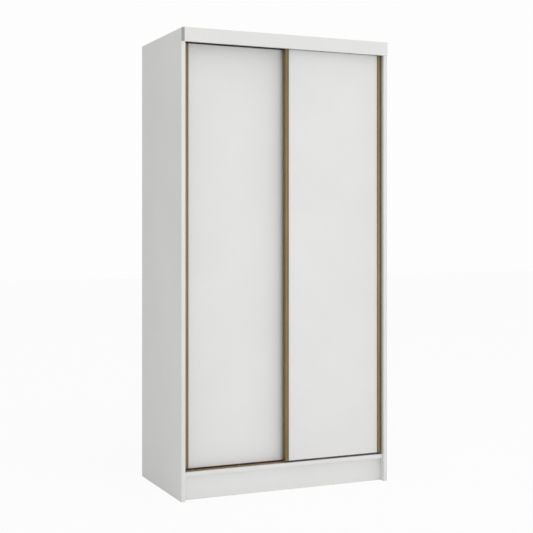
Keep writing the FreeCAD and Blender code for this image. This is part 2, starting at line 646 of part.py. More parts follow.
def roller(door, x, face_y, wheel_node):
    """A housing let into the panel's lower corner, its axle and its wheel."""
    y0 = face_y + POCKET_SKIN
    y1 = face_y + DOOR_THICKNESS
    slot_half = WHEEL_WIDTH / 2 + WHEEL_SIDE_CLEARANCE
    cavity_radius = WHEEL_FLANGE_RADIUS + WHEEL_RIM_CLEARANCE
    half = cavity_radius + ROLLER_WALL
    top = WHEEL_Z + cavity_radius + ROLLER_ROOF
    mid_y = face_y + HARDWARE_CENTRE
    housing = box(x - half, x + half, y0 + POCKET_FIT, y1, DOOR_BOTTOM + POCKET_FIT,
                  top - POCKET_FIT)
    plate_half = half + ROLLER_PLATE_SIDE
    plate = box(x - plate_half, x + plate_half, y1, y1 + HARDWARE_FLANGE,
                DOOR_BOTTOM + POCKET_FIT, top + ROLLER_PLATE_TOP)
    cavity = rod(vec(x, mid_y - slot_half, WHEEL_Z), Y_AXIS, cavity_radius, 2 * slot_half)
    mouth = box(x - cavity_radius, x + cavity_radius, mid_y - slot_half, mid_y + slot_half,
                DOOR_BOTTOM - OVERCUT, WHEEL_Z)
    axle = rod(vec(x, y0 + POCKET_FIT, WHEEL_Z), Y_AXIS, AXLE_RADIUS,
               DOOR_THICKNESS - POCKET_SKIN - POCKET_FIT + HARDWARE_FLANGE)
    add(f"{door}_roller_housings", housing.fuse(plate).removeSplitter().cut(cavity.fuse(mouth)))
    drill(axle, f"{door}_roller_housings")
    add(f"{door}_axles", axle)
    add(wheel_node, wheel(x, face_y))
    pocket = box(x - half - POCKET_FIT, x + half + POCKET_FIT, y0, y1, DOOR_BOTTOM - OVERCUT, top)
    drill(pocket, f"{door}_panel")
    screw_z = top + ROLLER_PLATE_TOP / 2
    for step in (-1, 1):
        seat = vec(x + step * (plate_half - PLATE_SCREW_EDGE), y1 + HARDWARE_FLANGE, screw_z)
        screw(f"{door}_screws", SCREW_SMALL, seat, Y_AXIS * -1, f"{door}_roller_housings",
              f"{door}_panel")


def top_guide(door, x, face_y, guide_node):
    """A sprung tongue in a housing let into the panel's upper edge."""
    y0 = face_y + POCKET_SKIN
    y1 = face_y + DOOR_THICKNESS
    mid_y = face_y + HARDWARE_CENTRE
    slot_x = GUIDE_WIDTH / 2 + GUIDE_SLOT_CLEARANCE
    slot_y = GUIDE_THICKNESS / 2 + GUIDE_SLOT_CLEARANCE
    slot_low = DOOR_TOP - GUIDE_TAIL - GUIDE_TRAVEL - GUIDE_SPRING_ROOM
    half = slot_x + GUIDE_WALL
    low = slot_low - GUIDE_WALL
    housing = box(x - half, x + half, y0 + POCKET_FIT, y1, low + POCKET_FIT, DOOR_TOP)
    plate_half = half + GUIDE_PLATE_SIDE
    plate = box(x - plate_half, x + plate_half, y1, y1 + HARDWARE_FLANGE, low - GUIDE_PLATE_FOOT,
                DOOR_TOP - GUIDE_PLATE_HEAD)
    slot = box(x - slot_x, x + slot_x, mid_y - slot_y, mid_y + slot_y, slot_low,
               DOOR_TOP + OVERCUT)
    tab_half = GUIDE_TAB_WIDTH / 2
    tab_z = DOOR_TOP - GUIDE_TAB_DROP
    window_half = tab_half + GUIDE_WINDOW_GAP
    window = box(x - window_half, x + window_half, mid_y, y1 + HARDWARE_FLANGE,
                 tab_z - GUIDE_TRAVEL - GUIDE_WINDOW_GAP,
                 tab_z + GUIDE_TAB_HEIGHT + GUIDE_WINDOW_GAP)
    add(f"{door}_guide_housings", housing.fuse(plate).removeSplitter().cut(slot.fuse(window)))
    body = box(x - GUIDE_WIDTH / 2, x + GUIDE_WIDTH / 2, mid_y - GUIDE_THICKNESS / 2,
               mid_y + GUIDE_THICKNESS / 2, DOOR_TOP - GUIDE_TAIL, DOOR_TOP + GUIDE_RISE)
    upper = [e for e in body.Edges
             if e.BoundBox.ZLength < TOLERANCE and e.BoundBox.ZMin > DOOR_TOP
             and e.BoundBox.XLength < TOLERANCE]
    body = body.makeFillet(GUIDE_ROUND, upper)
    tab_y = mid_y + GUIDE_THICKNESS / 2
    tab = box(x - tab_half, x + tab_half, tab_y, y1 + HARDWARE_FLANGE + GUIDE_TAB_PROUD, tab_z,
              tab_z + GUIDE_TAB_HEIGHT)
    add(guide_node, body.fuse(tab).removeSplitter())
    pocket = box(x - half - POCKET_FIT, x + half + POCKET_FIT, y0, y1, low, DOOR_TOP + OVERCUT)
    drill(pocket, f"{door}_panel")
    for step in (-1, 1):
        seat = vec(x + step * (half + GUIDE_PLATE_SIDE / 2), y1 + HARDWARE_FLANGE,
                   DOOR_TOP - GUIDE_TAIL)
        screw(f"{door}_screws", SCREW_SMALL, seat, Y_AXIS * -1, f"{door}_guide_housings",
              f"{door}_panel")


def door(name, x0, face_y, outer_side):
    """A door panel with its two stiles, rollers, guides, seals and screws."""
    x1 = x0 + DOOR_WIDTH
    edge = STILE_WALL + STILE_EDGE_FIT
    add(f"{name}_panel", box(x0 + edge, x1 - edge, face_y, face_y + DOOR_THICKNESS, DOOR_BOTTOM,
                             DOOR_TOP))
    stiles = {-1: (x0, 1), 1: (x1, -1)}
    for side, (x, inward) in stiles.items():
        node = f"{name}_outer_stile" if side == outer_side else f"{name}_inner_stile"
        add(node, stile(x, inward, face_y))
        leg_x = x + inward * (STILE_REAR_LEG - STILE_SCREW_EDGE)
        seat_y = face_y + DOOR_THICKNESS + STILE_WALL
        for z in spread(DOOR_BOTTOM + STILE_SCREW_END, DOOR_TOP - STILE_SCREW_END, STILE_SCREWS):
            screw(f"{name}_screws", SCREW_SMALL, vec(leg_x, seat_y, z), Y_AXIS * -1, node,
                  f"{name}_panel")
        hand = "left" if side < 0 else "right"
        roller(name, x + inward * ROLLER_INSET, face_y, f"{name}_wheel_{hand}")
        top_guide(name, x + inward * GUIDE_INSET, face_y, f"{name}_guide_{hand}")
    width, pile = SEAL_EDGE
    x, inward = stiles[outer_side]
    mid_y = face_y + HARDWARE_CENTRE
    add(f"{name}_pile_seals", box(min(x, x - inward * pile), max(x, x - inward * pile),
                                  mid_y - width / 2, mid_y + width / 2,
                                  DOOR_BOTTOM + SEAL_END_GAP, DOOR_TOP - SEAL_END_GAP))


def foot_seals():
    """Pile strips under the doors: before the bottom track's plate, and over it."""
    setback, width = SEAL_FOOT
    front_y = door_lines()[0] - BOTTOM_TRACK_MARGIN - SEAL_FOOT_GAP - width
    for name, x, y, below in (("right_door", RIGHT_DOOR_X, front_y, BASE_TOP),
                              ("left_door", LEFT_DOOR_X, REAR_DOOR_Y + setback, BOTTOM_PLATE_TOP)):
        add(f"{name}_pile_seals", box(x + SEAL_END_GAP, x + DOOR_WIDTH - SEAL_END_GAP, y, y + width,
                                      below + SEAL_FOOT_GAP, DOOR_BOTTOM))


def overlap_seal():
    """Pile strip behind the front door's inner stile that closes the gap to the rear door."""
    y = FRONT_DOOR_Y + DOOR_THICKNESS + STILE_WALL
    pile_tip = REAR_DOOR_Y - STILE_CROWN - SEAL_OVERLAP_GAP
    x0 = RIGHT_DOOR_X + SEAL_OVERLAP_INSET
    add("right_door_pile_seals", box(x0, x0 + SEAL_OVERLAP_WIDTH, y, pile_tip,
                                     DOOR_BOTTOM + SEAL_END_GAP, DOOR_TOP - SEAL_END_GAP))


# ---------------------------------------------------------------- build and export

def finished(name):
    whole = Part.makeCompound(SOLIDS[name])
    if name in CUTS:
        whole = whole.cut(Part.makeCompound(CUTS[name]))
    return whole


def main():
    carcass_boards()
    adjustable_shelves()
    board_joints()
    plinth_joints()
    back_sheets()
    floor_glides()
    wall_brackets()
    fascia_brackets()
    hanging_rail()
    bottom_track()
    top_track()
    door_stops()
    door("left_door", LEFT_DOOR_X, REAR_DOOR_Y, -1)
    door("right_door", RIGHT_DOOR_X, FRONT_DOOR_Y, 1)
    foot_seals()
    overlap_seal()
    os.makedirs("parts", exist_ok=True)
    for name in SOLIDS:
        finished(name).exportStep(f"parts/{name}.step")
        print(name)


main()
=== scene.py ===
"""A white wardrobe with two sliding doors in champagne gold stiles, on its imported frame."""
import logging
import math
from dataclasses import dataclass, field
from enum import Enum
from typing import Callable, Sequence

import bmesh
import bpy
from mathutils import Matrix, Vector


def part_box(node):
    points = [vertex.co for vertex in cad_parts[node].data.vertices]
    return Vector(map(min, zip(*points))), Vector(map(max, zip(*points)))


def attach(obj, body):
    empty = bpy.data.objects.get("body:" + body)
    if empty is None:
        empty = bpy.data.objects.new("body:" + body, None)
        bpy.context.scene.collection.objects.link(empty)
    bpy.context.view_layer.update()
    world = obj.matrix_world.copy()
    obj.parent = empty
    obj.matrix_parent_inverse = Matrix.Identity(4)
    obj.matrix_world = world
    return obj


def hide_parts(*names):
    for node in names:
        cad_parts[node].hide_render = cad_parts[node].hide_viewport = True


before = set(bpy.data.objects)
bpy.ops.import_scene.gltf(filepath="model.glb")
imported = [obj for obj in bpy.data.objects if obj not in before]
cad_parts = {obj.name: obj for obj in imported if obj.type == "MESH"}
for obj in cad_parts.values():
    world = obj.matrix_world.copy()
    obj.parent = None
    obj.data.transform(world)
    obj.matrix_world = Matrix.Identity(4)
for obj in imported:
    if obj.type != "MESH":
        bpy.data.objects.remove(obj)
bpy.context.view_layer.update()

# Points within SAME are one point, and a spun or copied mesh is merged at WELD. A cutting shape
# stands OVERCUT out of its piece. A face looks along an axis if its normal has FACING there.
# Edges of more than CREASE degrees are rounded, and those under FLAT degrees are dissolved.
MM = 0.001
SAME = 0.001 * MM
WELD = 0.002 * MM
OVERCUT = 1.0 * MM
FACING = 0.9
CREASE = 30.0
FLAT = 0.5
UP = Vector((0.0, 0.0, 1.0))
WHITE = (1.0, 1.0, 1.0, 1.0)
CARCASS = "carcass"
Colour = tuple[float, float, float]
Point = tuple[float, float]

logging.basicConfig(level=logging.INFO, format="%(message)s")
log = logging.getLogger("wardrobe")


class Axis(Enum):
    """The three directions of the model."""

    X = 0
    Y = 1
    Z = 2

    @property
    def unit(self) -> Vector:
        """The axis as a vector one metre long."""
        return Vector([1.0 if i == self.value else 0.0 for i in range(3)])

    @property
    def others(self) -> tuple[int, int]:
        """The indices of the two axes across this one."""
        first, second = [i for i in range(3) if i != self.value]
        return first, second


class Side(Enum):
    """The sides of a board or door, each with its axis and the sign of its normal."""

    LEFT = (Axis.X, -1)
    RIGHT = (Axis.X, 1)
    FRONT = (Axis.Y, -1)
    BOTTOM = (Axis.Z, -1)
    TOP = (Axis.Z, 1)

    @property
    def normal(self) -> Vector:
        """The outward normal."""
        axis, sign = self.value
        return axis.unit * sign


@dataclass(frozen=True)
class Span:
    """An upright box between its lowest and highest corner, in metres."""

    low: Vector
    high: Vector

    @property
    def centre(self) -> Vector:
        """The middle of the box."""
        return (self.low + self.high) / 2.0

    @property
    def size(self) -> Vector:
        """The lengths of the box along the three axes."""
        return self.high - self.low

    def holds(self, point: Vector) -> bool:
        """Tell whether a point lies in the box."""
        return all(a <= p <= b for a, p, b in zip(self.low, point, self.high))


def cuboid(low: Sequence[float], high: Sequence[float]) -> Span:
    """Return the box between two corners."""
    return Span(Vector(low), Vector(high))


@dataclass(frozen=True)
class Solid:
    """One separate solid of a frame node, known by its corner points."""

    points: tuple[Vector, ...]
    end_depth: float = 0.1 * MM

    @property
    def span(self) -> Span:
        """The box round the solid.

        Returns:
            The box.
        """
        low = Vector([min(p[i] for p in self.points) for i in range(3)])
        high = Vector([max(p[i] for p in self.points) for i in range(3)])
        return Span(low, high)

    def ends(self, axis: Axis) -> tuple[list[Vector], list[Vector]]:
        """Find the points at both ends of the solid.

        Args:
            axis: The direction in which the ends are taken.

        Returns:
            The points at the low end, and those at the high end.
        """
        i = axis.value
        span = self.span
        low = [p for p in self.points if p[i] < span.low[i] + self.end_depth]
        high = [p for p in self.points if p[i] > span.high[i] - self.end_depth]
        return low, high

    def end_widths(self, axis: Axis) -> list[float]:
        """Measure both ends of the solid across their axis.

        Args:
            axis: The direction in which the ends are taken.

        Returns:
            The width of the low end and that of the high end, along the first axis across.
        """
        across = axis.others[0]
        return [max(p[across] for p in end) - min(p[across] for p in end)
                for end in self.ends(axis)]


def node_span(node: str) -> Span:
    """Return the box of a frame node."""
    return Span(*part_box(node))


def solids_of(node: str) -> list[Solid]:
    """Split a frame node into its separate solids.

    Args:
        node: The name of the frame node.

    Returns:
        The solids, in order of place.
    """
    mesh = bmesh.new()
    mesh.from_mesh(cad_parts[node].data)
    bmesh.ops.remove_doubles(mesh, verts=mesh.verts, dist=SAME)
    left = set(mesh.verts)
    found = []
    while left:
        stack = [left.pop()]
        points = []
        while stack:
            vertex = stack.pop()
            points.append(vertex.co.copy())
            for edge in vertex.link_edges:
                other = edge.other_vert(vertex)
                if other in left:
                    left.remove(other)
                    stack.append(other)
        points.sort(key=lambda p: tuple(p))
        found.append(Solid(tuple(points)))
    mesh.free()
    return sorted(found, key=lambda s: tuple(round(c, 5) for c in s.span.low))


# ---------------------------------------------------------------- modelling steps

def deselect() -> None:
    """Leave edit mode and deselect every object."""
    if bpy.context.mode != "OBJECT":
        bpy.ops.object.mode_set(mode="OBJECT")
    bpy.ops.object.select_all(action="DESELECT")


def pick(*objects: bpy.types.Object) -> None:
    """Select these objects only, the first one active.

    Args:
        *objects: The objects.
    """
    deselect()
    for obj in objects:
        obj.select_set(True)
    bpy.context.view_layer.objects.active = objects[0]


def settle(obj: bpy.types.Object, name: str) -> bpy.types.Object:
    """Name a new object and move its place, turn and scale into its mesh.

    Args:
        obj: The new object.
        name: Its name.

    Returns:
        The same object.
    """
    obj.name = name
    obj.data.name = name
    pick(obj)
    bpy.ops.object.transform_apply(location=True, rotation=True, scale=True)
    return obj


def block(name: str, span: Span) -> bpy.types.Object:
    """Add a cuboid that fills a box.

    Args:
        name: The object's name.
        span: The box.

    Returns:
        The new object.
    """
    deselect()
    bpy.ops.mesh.primitive_cube_add(size=1.0, location=span.centre)
    obj = bpy.context.object
    obj.scale = span.size
    return settle(obj, name)


def rod(name: str, start: Vector, end: Vector, radius: float, sides: int = 24) -> bpy.types.Object:
    """Add a round bar between two points.

    Args:
        name: The object's name.
        start: The middle of one end.
        end: The middle of the other end.
        radius: The bar's radius.
        sides: The number of flats round it.

    Returns:
        The new object.
    """
    deselect()
    way = end - start
    bpy.ops.mesh.primitive_cylinder_add(vertices=sides, radius=radius, depth=way.length)
    obj = bpy.context.object
    turn = UP.rotation_difference(way)
    obj.rotation_mode = "QUATERNION"
    obj.rotation_quaternion = turn
    obj.location = (start + end) / 2.0
    return settle(obj, name)


def section(name: str, outline: Sequence[Point], axis: Axis, start: float,
            end: float) -> bpy.types.Object:
    """Extrude a closed outline along an axis.

    Args:
        name: The object's name.
        outline: The outline's corners across the axis, in metres.
        axis: The direction of the extrusion.
        start: Where it starts on the axis.
        end: Where it ends on the axis.

    Returns:
        The new object.
    """
    deselect()
    bpy.ops.mesh.primitive_circle_add(vertices=len(outline), radius=1.0, fill_type="NGON")
    obj = bpy.context.object
    first, second = axis.others
    for vertex, (a, b) in zip(obj.data.vertices, outline):
        place = axis.unit * start
        place[first] = a
        place[second] = b
        vertex.co = place
    bpy.ops.object.mode_set(mode="EDIT")
    bpy.ops.mesh.select_all(action="SELECT")
    reach = axis.unit * (end - start)
    bpy.ops.mesh.extrude_region_move(TRANSFORM_OT_translate={"value": reach})
    bpy.ops.mesh.select_all(action="SELECT")
    bpy.ops.mesh.normals_make_consistent(inside=False)
    bpy.ops.object.mode_set(mode="OBJECT")
    return settle(obj, name)


def lathe(name: str, profile: Sequence[Point], steps: int = 32) -> bpy.types.Object:
    """Spin a closed profile round the Z axis.

    Args:
        name: The object's name.
        profile: Pairs of radius and height, in metres.
        steps: The number of steps in a full turn.

    Returns:
        The new object, about the origin.
    """
    deselect()
    bpy.ops.mesh.primitive_circle_add(vertices=len(profile), radius=1.0, fill_type="NOTHING")
    obj = bpy.context.object
    for vertex, (radius, height) in zip(obj.data.vertices, profile):
        vertex.co = (radius, 0.0, height)
    bpy.ops.object.mode_set(mode="EDIT")
    bpy.ops.mesh.select_all(action="SELECT")
    bpy.ops.mesh.spin(steps=steps, angle=2.0 * math.pi, center=(0, 0, 0), axis=(0, 0, 1))
    bpy.ops.mesh.select_all(action="SELECT")
    bpy.ops.mesh.remove_doubles(threshold=WELD)
    bpy.ops.mesh.delete_loose()
    bpy.ops.mesh.select_all(action="SELECT")
    bpy.ops.mesh.normals_make_consistent(inside=False)
    bpy.ops.object.mode_set(mode="OBJECT")
    return settle(obj, name)


def from_node(name: str, node: str) -> bpy.types.Object:
    """Copy a frame node's shape as one welded mesh, ready to have its edges worked.

    Args:
        name: The new object's name.
        node: The frame node.

    Returns:
        The new object.
    """
    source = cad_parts[node]
    obj = bpy.data.objects.new(name, source.data.copy())
    bpy.context.scene.collection.objects.link(obj)
    obj.data.materials.clear()
    pick(obj)
    bpy.ops.object.mode_set(mode="EDIT")
    bpy.ops.mesh.select_all(action="SELECT")
    bpy.ops.mesh.remove_doubles(threshold=WELD)
    bpy.ops.mesh.dissolve_limited(angle_limit=math.radians(FLAT))
    bpy.ops.object.mode_set(mode="OBJECT")
    bpy.ops.mesh.customdata_custom_splitnormals_clear()
    return settle(obj, name)


def apply_modifier(obj: bpy.types.Object, kind: str, **settings: object) -> None:
    """Add a modifier to a piece and apply it.

    Args:
        obj: The piece.
        kind: The modifier's type.
        **settings: The modifier's own values.
    """
    pick(obj)
    modifier = obj.modifiers.new(kind.lower(), kind)
    for key, value in settings.items():
        setattr(modifier, key, value)
    bpy.ops.object.modifier_apply(modifier=modifier.name)


def shade(obj: bpy.types.Object, smooth: float) -> bpy.types.Object:
    """Shade a piece smooth, with its sharper edges crisp.

    Args:
        obj: The piece.
        smooth: Edges sharper than this many degrees stay crisp.

    Returns:
        The same piece.
    """
    pick(obj)
    bpy.ops.object.shade_smooth_by_angle(angle=math.radians(smooth))
    return obj


def soften(obj: bpy.types.Object, width: float, segments: int = 2,
           smooth: float = 40.0) -> bpy.types.Object:
    """Round a piece's sharp edges and shade its curves smooth.

    Args:
        obj: The piece.
        width: The width of the rounding.
        segments: The number of steps in it.
        smooth: Edges sharper than this many degrees stay crisp.

    Returns:
        The same piece.
    """
    apply_modifier(obj, "BEVEL", width=width, segments=segments, limit_method="ANGLE",
                   angle_limit=math.radians(CREASE), miter_outer="MITER_ARC")
    return shade(obj, smooth)


def joined(name: str, pieces: Sequence[bpy.types.Object]) -> bpy.types.Object:
    """Join pieces into one object and name it.

    Args:
        name: The object's name.
        pieces: The pieces, which are used up.

    Returns:
        The object.
    """
    pick(*pieces)
    if len(pieces) > 1:
        bpy.ops.object.join()
    return settle(bpy.context.object, name)


def cut(obj: bpy.types.Object, tools: Sequence[bpy.types.Object]) -> bpy.types.Object:
    """Cut shapes out of a piece.

    Args:
        obj: The piece.
        tools: The shapes, which are used up.

    Returns:
        The same piece.
    """
    if not tools:
        return obj
    tool = joined("cutter", tools)
    apply_modifier(obj, "BOOLEAN", operation="DIFFERENCE", solver="EXACT", object=tool)
    bpy.data.objects.remove(tool)
    return obj


def cut_cross(obj: bpy.types.Object, reach: float, half: float, floor: float,
              top: float) -> None:
    """Cut a cross recess into the top of an upright piece.

    Args:
        obj: The piece.
        reach: Half the length of the cross.
        half: Half the width of its arms.
        floor: The height of its floor.
        top: A height above the piece.
    """
    for a, b in ((reach, half), (half, reach)):
        cut(obj, [block("blade", cuboid((-a, -b, floor), (a, b, top)))])


def copied(template: bpy.types.Object, seat: Vector, way: Vector) -> bpy.types.Object:
    """Copy a template that was made upright at the origin to its place.

    Args:
        template: The piece to copy.
        seat: Where its origin goes.
        way: Where its upward direction points.

    Returns:
        The copy, with a mesh of its own.
    """
    obj = template.copy()
    obj.data = template.data.copy()
    turn = UP.rotation_difference(way).to_matrix().to_4x4()
    obj.data.transform(Matrix.Translation(seat) @ turn)
    bpy.context.scene.collection.objects.link(obj)
    return obj


def paint(obj: bpy.types.Object, material: bpy.types.Material,
          where: Callable[[bpy.types.MeshPolygon], bool]) -> None:
    """Give some of a piece's faces another material.

    Args:
        obj: The piece.
        material: The material.
        where: Tells for each face whether it gets the material.
    """
    obj.data.materials.append(material)
    index = len(obj.data.materials) - 1
    for face in obj.data.polygons:
        if where(face):
            face.material_index = index


def hand_over(obj: bpy.types.Object, body: str, node: str) -> None:
    """Put a finished piece on its body in place of its frame node, and report it.

    Args:
        obj: The piece.
        body: The body that it rides on.
        node: The frame node that it stands for.
    """
    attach(obj, body)
    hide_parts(node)
    log.info("%s on %s, %d faces", obj.name, body, len(obj.data.polygons))


# ---------------------------------------------------------------- material graphs

class Graph:
    """Adds nodes to a shader tree and links them."""

    def __init__(self, tree: bpy.types.NodeTree) -> None:
        """Keep the tree that nodes are added to."""
        self.tree = tree

    def feed(self, node: bpy.types.Node, inputs: dict) -> bpy.types.Node:
        """Fill a node's inputs.

        Args:
            node: The node.
            inputs: Values or sockets for its inputs, by name or number.

        Returns:
            The same node.
        """
        for key, value in inputs.items():
            if isinstance(value, bpy.types.NodeSocket):
                self.tree.links.new(value, node.inputs[key])
            else:
                node.inputs[key].default_value = value
        return node

    def add(self, kind: str, inputs: dict | None = None, **settings: object) -> bpy.types.Node:
        """Add a node.

        Args:
            kind: The node's type, without its ShaderNode prefix.
            inputs: Values or sockets for its inputs, by name or number.
            **settings: The node's own properties.

        Returns:
            The node.
        """
        node = self.tree.nodes.new(f"ShaderNode{kind}")
        for key, value in settings.items():
            setattr(node, key, value)
        return self.feed(node, inputs or {})

    def math(self, operation: str, a: object, b: object = 0.0) -> bpy.types.NodeSocket:
        """Add a math node and return its result."""
        return self.add("Math", {0: a, 1: b}, operation=operation).outputs[0]

    def fit(self, value: object, low: float, high: float, to_low: float = 0.0,
            to_high: float = 1.0) -> bpy.types.NodeSocket:
        """Map a value from one range to another, held inside the new range."""
        ends = {"Value": value, "From Min": low, "From Max": high, "To Min": to_low,
                "To Max": to_high}
        return self.add("MapRange", ends).outputs[0]

    def mix(self, factor: object, a: object, b: object) -> bpy.types.NodeSocket:
        """Mix two colours and return the result."""
        return self.add("Mix", {0: factor, 6: a, 7: b}, data_type="RGBA").outputs[2]

    def noise(self, vector: object, scale: object, detail: float = 2.0,
              roughness: float = 0.5) -> bpy.types.NodeSocket:
        """Add a noise texture and return its value."""
        values = {"Vector": vector, "Scale": scale, "Detail": detail, "Roughness": roughness}
        return self.add("TexNoise", values).outputs[0]

    def place(self) -> bpy.types.NodeSocket:
        """Return the place on the piece that is shaded."""
        return self.add("TexCoord").outputs["Object"]

    def stretched(self, factors: object) -> bpy.types.NodeSocket:
        """Return the place with each of its axes stretched by a factor."""
        values = {0: self.place(), 1: factors}
        return self.add("VectorMath", values, operation="MULTIPLY").outputs[0]

    def effect(self, effect: "Effect", inputs: dict) -> bpy.types.Node:
        """Place a shared effect with its own values."""
        return self.feed(self.add("Group", node_tree=effect.tree()), inputs)


def rgba(colour: Colour) -> tuple[float, float, float, float]:
    """Add full alpha to a colour."""
    return (*colour, 1.0)


class Effect(Enum):
    """The shader effects that several finishes share, each a node group built once."""

    MOTTLE = "mottle"
    TEXTURE = "moulded_texture"
    BRUSH = "brushed_lines"
    WEAR = "edge_wear"

    def tree(self) -> bpy.types.NodeTree:
        """Find the effect's node group, built when it is first asked for.

        Returns:
            The group.
        """
        found = bpy.data.node_groups.get(self.value)
        if found:
            return found
        tree = bpy.data.node_groups.new(self.value, "ShaderNodeTree")
        builder = {Effect.MOTTLE: build_mottle, Effect.TEXTURE: build_texture,
                   Effect.BRUSH: build_brush, Effect.WEAR: build_wear}[self]
        builder(tree)
        return tree


def sockets(tree: bpy.types.NodeTree, inputs: dict[str, object],
            outputs: dict[str, str]) -> tuple[bpy.types.Node, bpy.types.Node]:
    """Declare a node group's sockets.

    Args:
        tree: The group.
        inputs: The default value of each input, by name.
        outputs: The socket type of each output, by name.

    Returns:
        The group's input node and its output node.
    """
    kinds = {float: "NodeSocketFloat", tuple: "NodeSocketColor", Vector: "NodeSocketVector"}
    for name, value in inputs.items():
        made = tree.interface.new_socket(name, in_out="INPUT", socket_type=kinds[type(value)])
        made.default_value = value
    for name, kind in outputs.items():
        tree.interface.new_socket(name, in_out="OUTPUT", socket_type=kind)
    return tree.nodes.new("NodeGroupInput"), tree.nodes.new("NodeGroupOutput")


def build_mottle(tree: bpy.types.NodeTree) -> None:
    """Build soft tone changes over a surface, from a hand's width down to fine specks.

    Args:
        tree: The empty group.
    """
    source, result = sockets(tree, {"Tone": (0.8, 0.8, 0.8, 1.0), "Shade": (0.7, 0.7, 0.7, 1.0),
                                    "Scale": 4.0, "Speck Scale": 600.0, "Speck": 0.2},
                             {"Color": "NodeSocketColor", "Mask": "NodeSocketFloat"})
    graph = Graph(tree)
    place = graph.place()
    broad = graph.noise(place, source.outputs["Scale"], 3.0, 0.55)
    speck = graph.noise(place, source.outputs["Speck Scale"], 1.0)
    weighed = graph.math("MULTIPLY", graph.fit(speck, 0.42, 0.66), source.outputs["Speck"])
    mask = graph.math("MINIMUM", graph.math("ADD", graph.fit(broad, 0.3, 0.7), weighed), 1.0)
    colour = graph.mix(mask, source.outputs["Tone"], source.outputs["Shade"])
    graph.feed(result, {"Color": colour, "Mask": mask})


def build_texture(tree: bpy.types.NodeTree) -> None:
    """Build the fine pebbled relief of a pressed or moulded surface.

    Args:
        tree: The empty group.
    """
    source, result = sockets(tree, {"Scale": 800.0, "Waviness": 0.2},
                             {"Height": "NodeSocketFloat"})
    graph = Graph(tree)
    place = graph.place()
    cells = graph.add("TexVoronoi", {"Vector": place, "Scale": source.outputs["Scale"]},
                      feature="SMOOTH_F1").outputs["Distance"]
    grain = graph.noise(place, source.outputs["Scale"], 2.0, 0.6)
    fine = graph.math("MULTIPLY", graph.math("ADD", cells, grain), 0.5)
    swell = graph.math("MULTIPLY", graph.noise(place, 9.0, 1.0), source.outputs["Waviness"])
    graph.feed(result, {"Height": graph.math("ADD", fine, swell)})


def build_brush(tree: bpy.types.NodeTree) -> None:
    """Build the fine parallel lines of brushed or drawn metal.

    Args:
        tree: The empty group.
    """
    source, result = sockets(tree, {"Stretch": Vector((900.0, 900.0, 6.0)), "Broad": 0.35},
                             {"Height": "NodeSocketFloat", "Lines": "NodeSocketFloat"})
    graph = Graph(tree)
    drawn = graph.stretched(source.outputs["Stretch"])
    wide = graph.math("MULTIPLY", graph.noise(drawn, 0.16), source.outputs["Broad"])
    height = graph.math("ADD", graph.noise(drawn, 1.0, 3.0, 0.65), wide)
    graph.feed(result, {"Height": height, "Lines": graph.fit(height, 0.45, 0.9)})


def build_wear(tree: bpy.types.NodeTree) -> None:
    """Build a mask of the outer edges that hands and tools have rubbed.

    Args:
        tree: The empty group.
    """
    source, result = sockets(tree, {"Radius": 0.0006, "Amount": 0.5},
                             {"Mask": "NodeSocketFloat"})
    graph = Graph(tree)
    rounded = graph.add("Bevel", {"Radius": source.outputs["Radius"]}, samples=3).outputs[0]
    flat = graph.add("NewGeometry").outputs["Normal"]
    same = graph.add("VectorMath", {0: rounded, 1: flat}, operation="DOT_PRODUCT").outputs["Value"]
    edge = graph.fit(same, 0.8, 0.995, 1.0, 0.0)
    patches = graph.fit(graph.noise(graph.place(), 160.0, 3.0), 0.4, 0.6, 0.25)
    mask = graph.math("MULTIPLY", edge, patches)
    graph.feed(result, {"Mask": graph.math("MULTIPLY", mask, source.outputs["Amount"])})


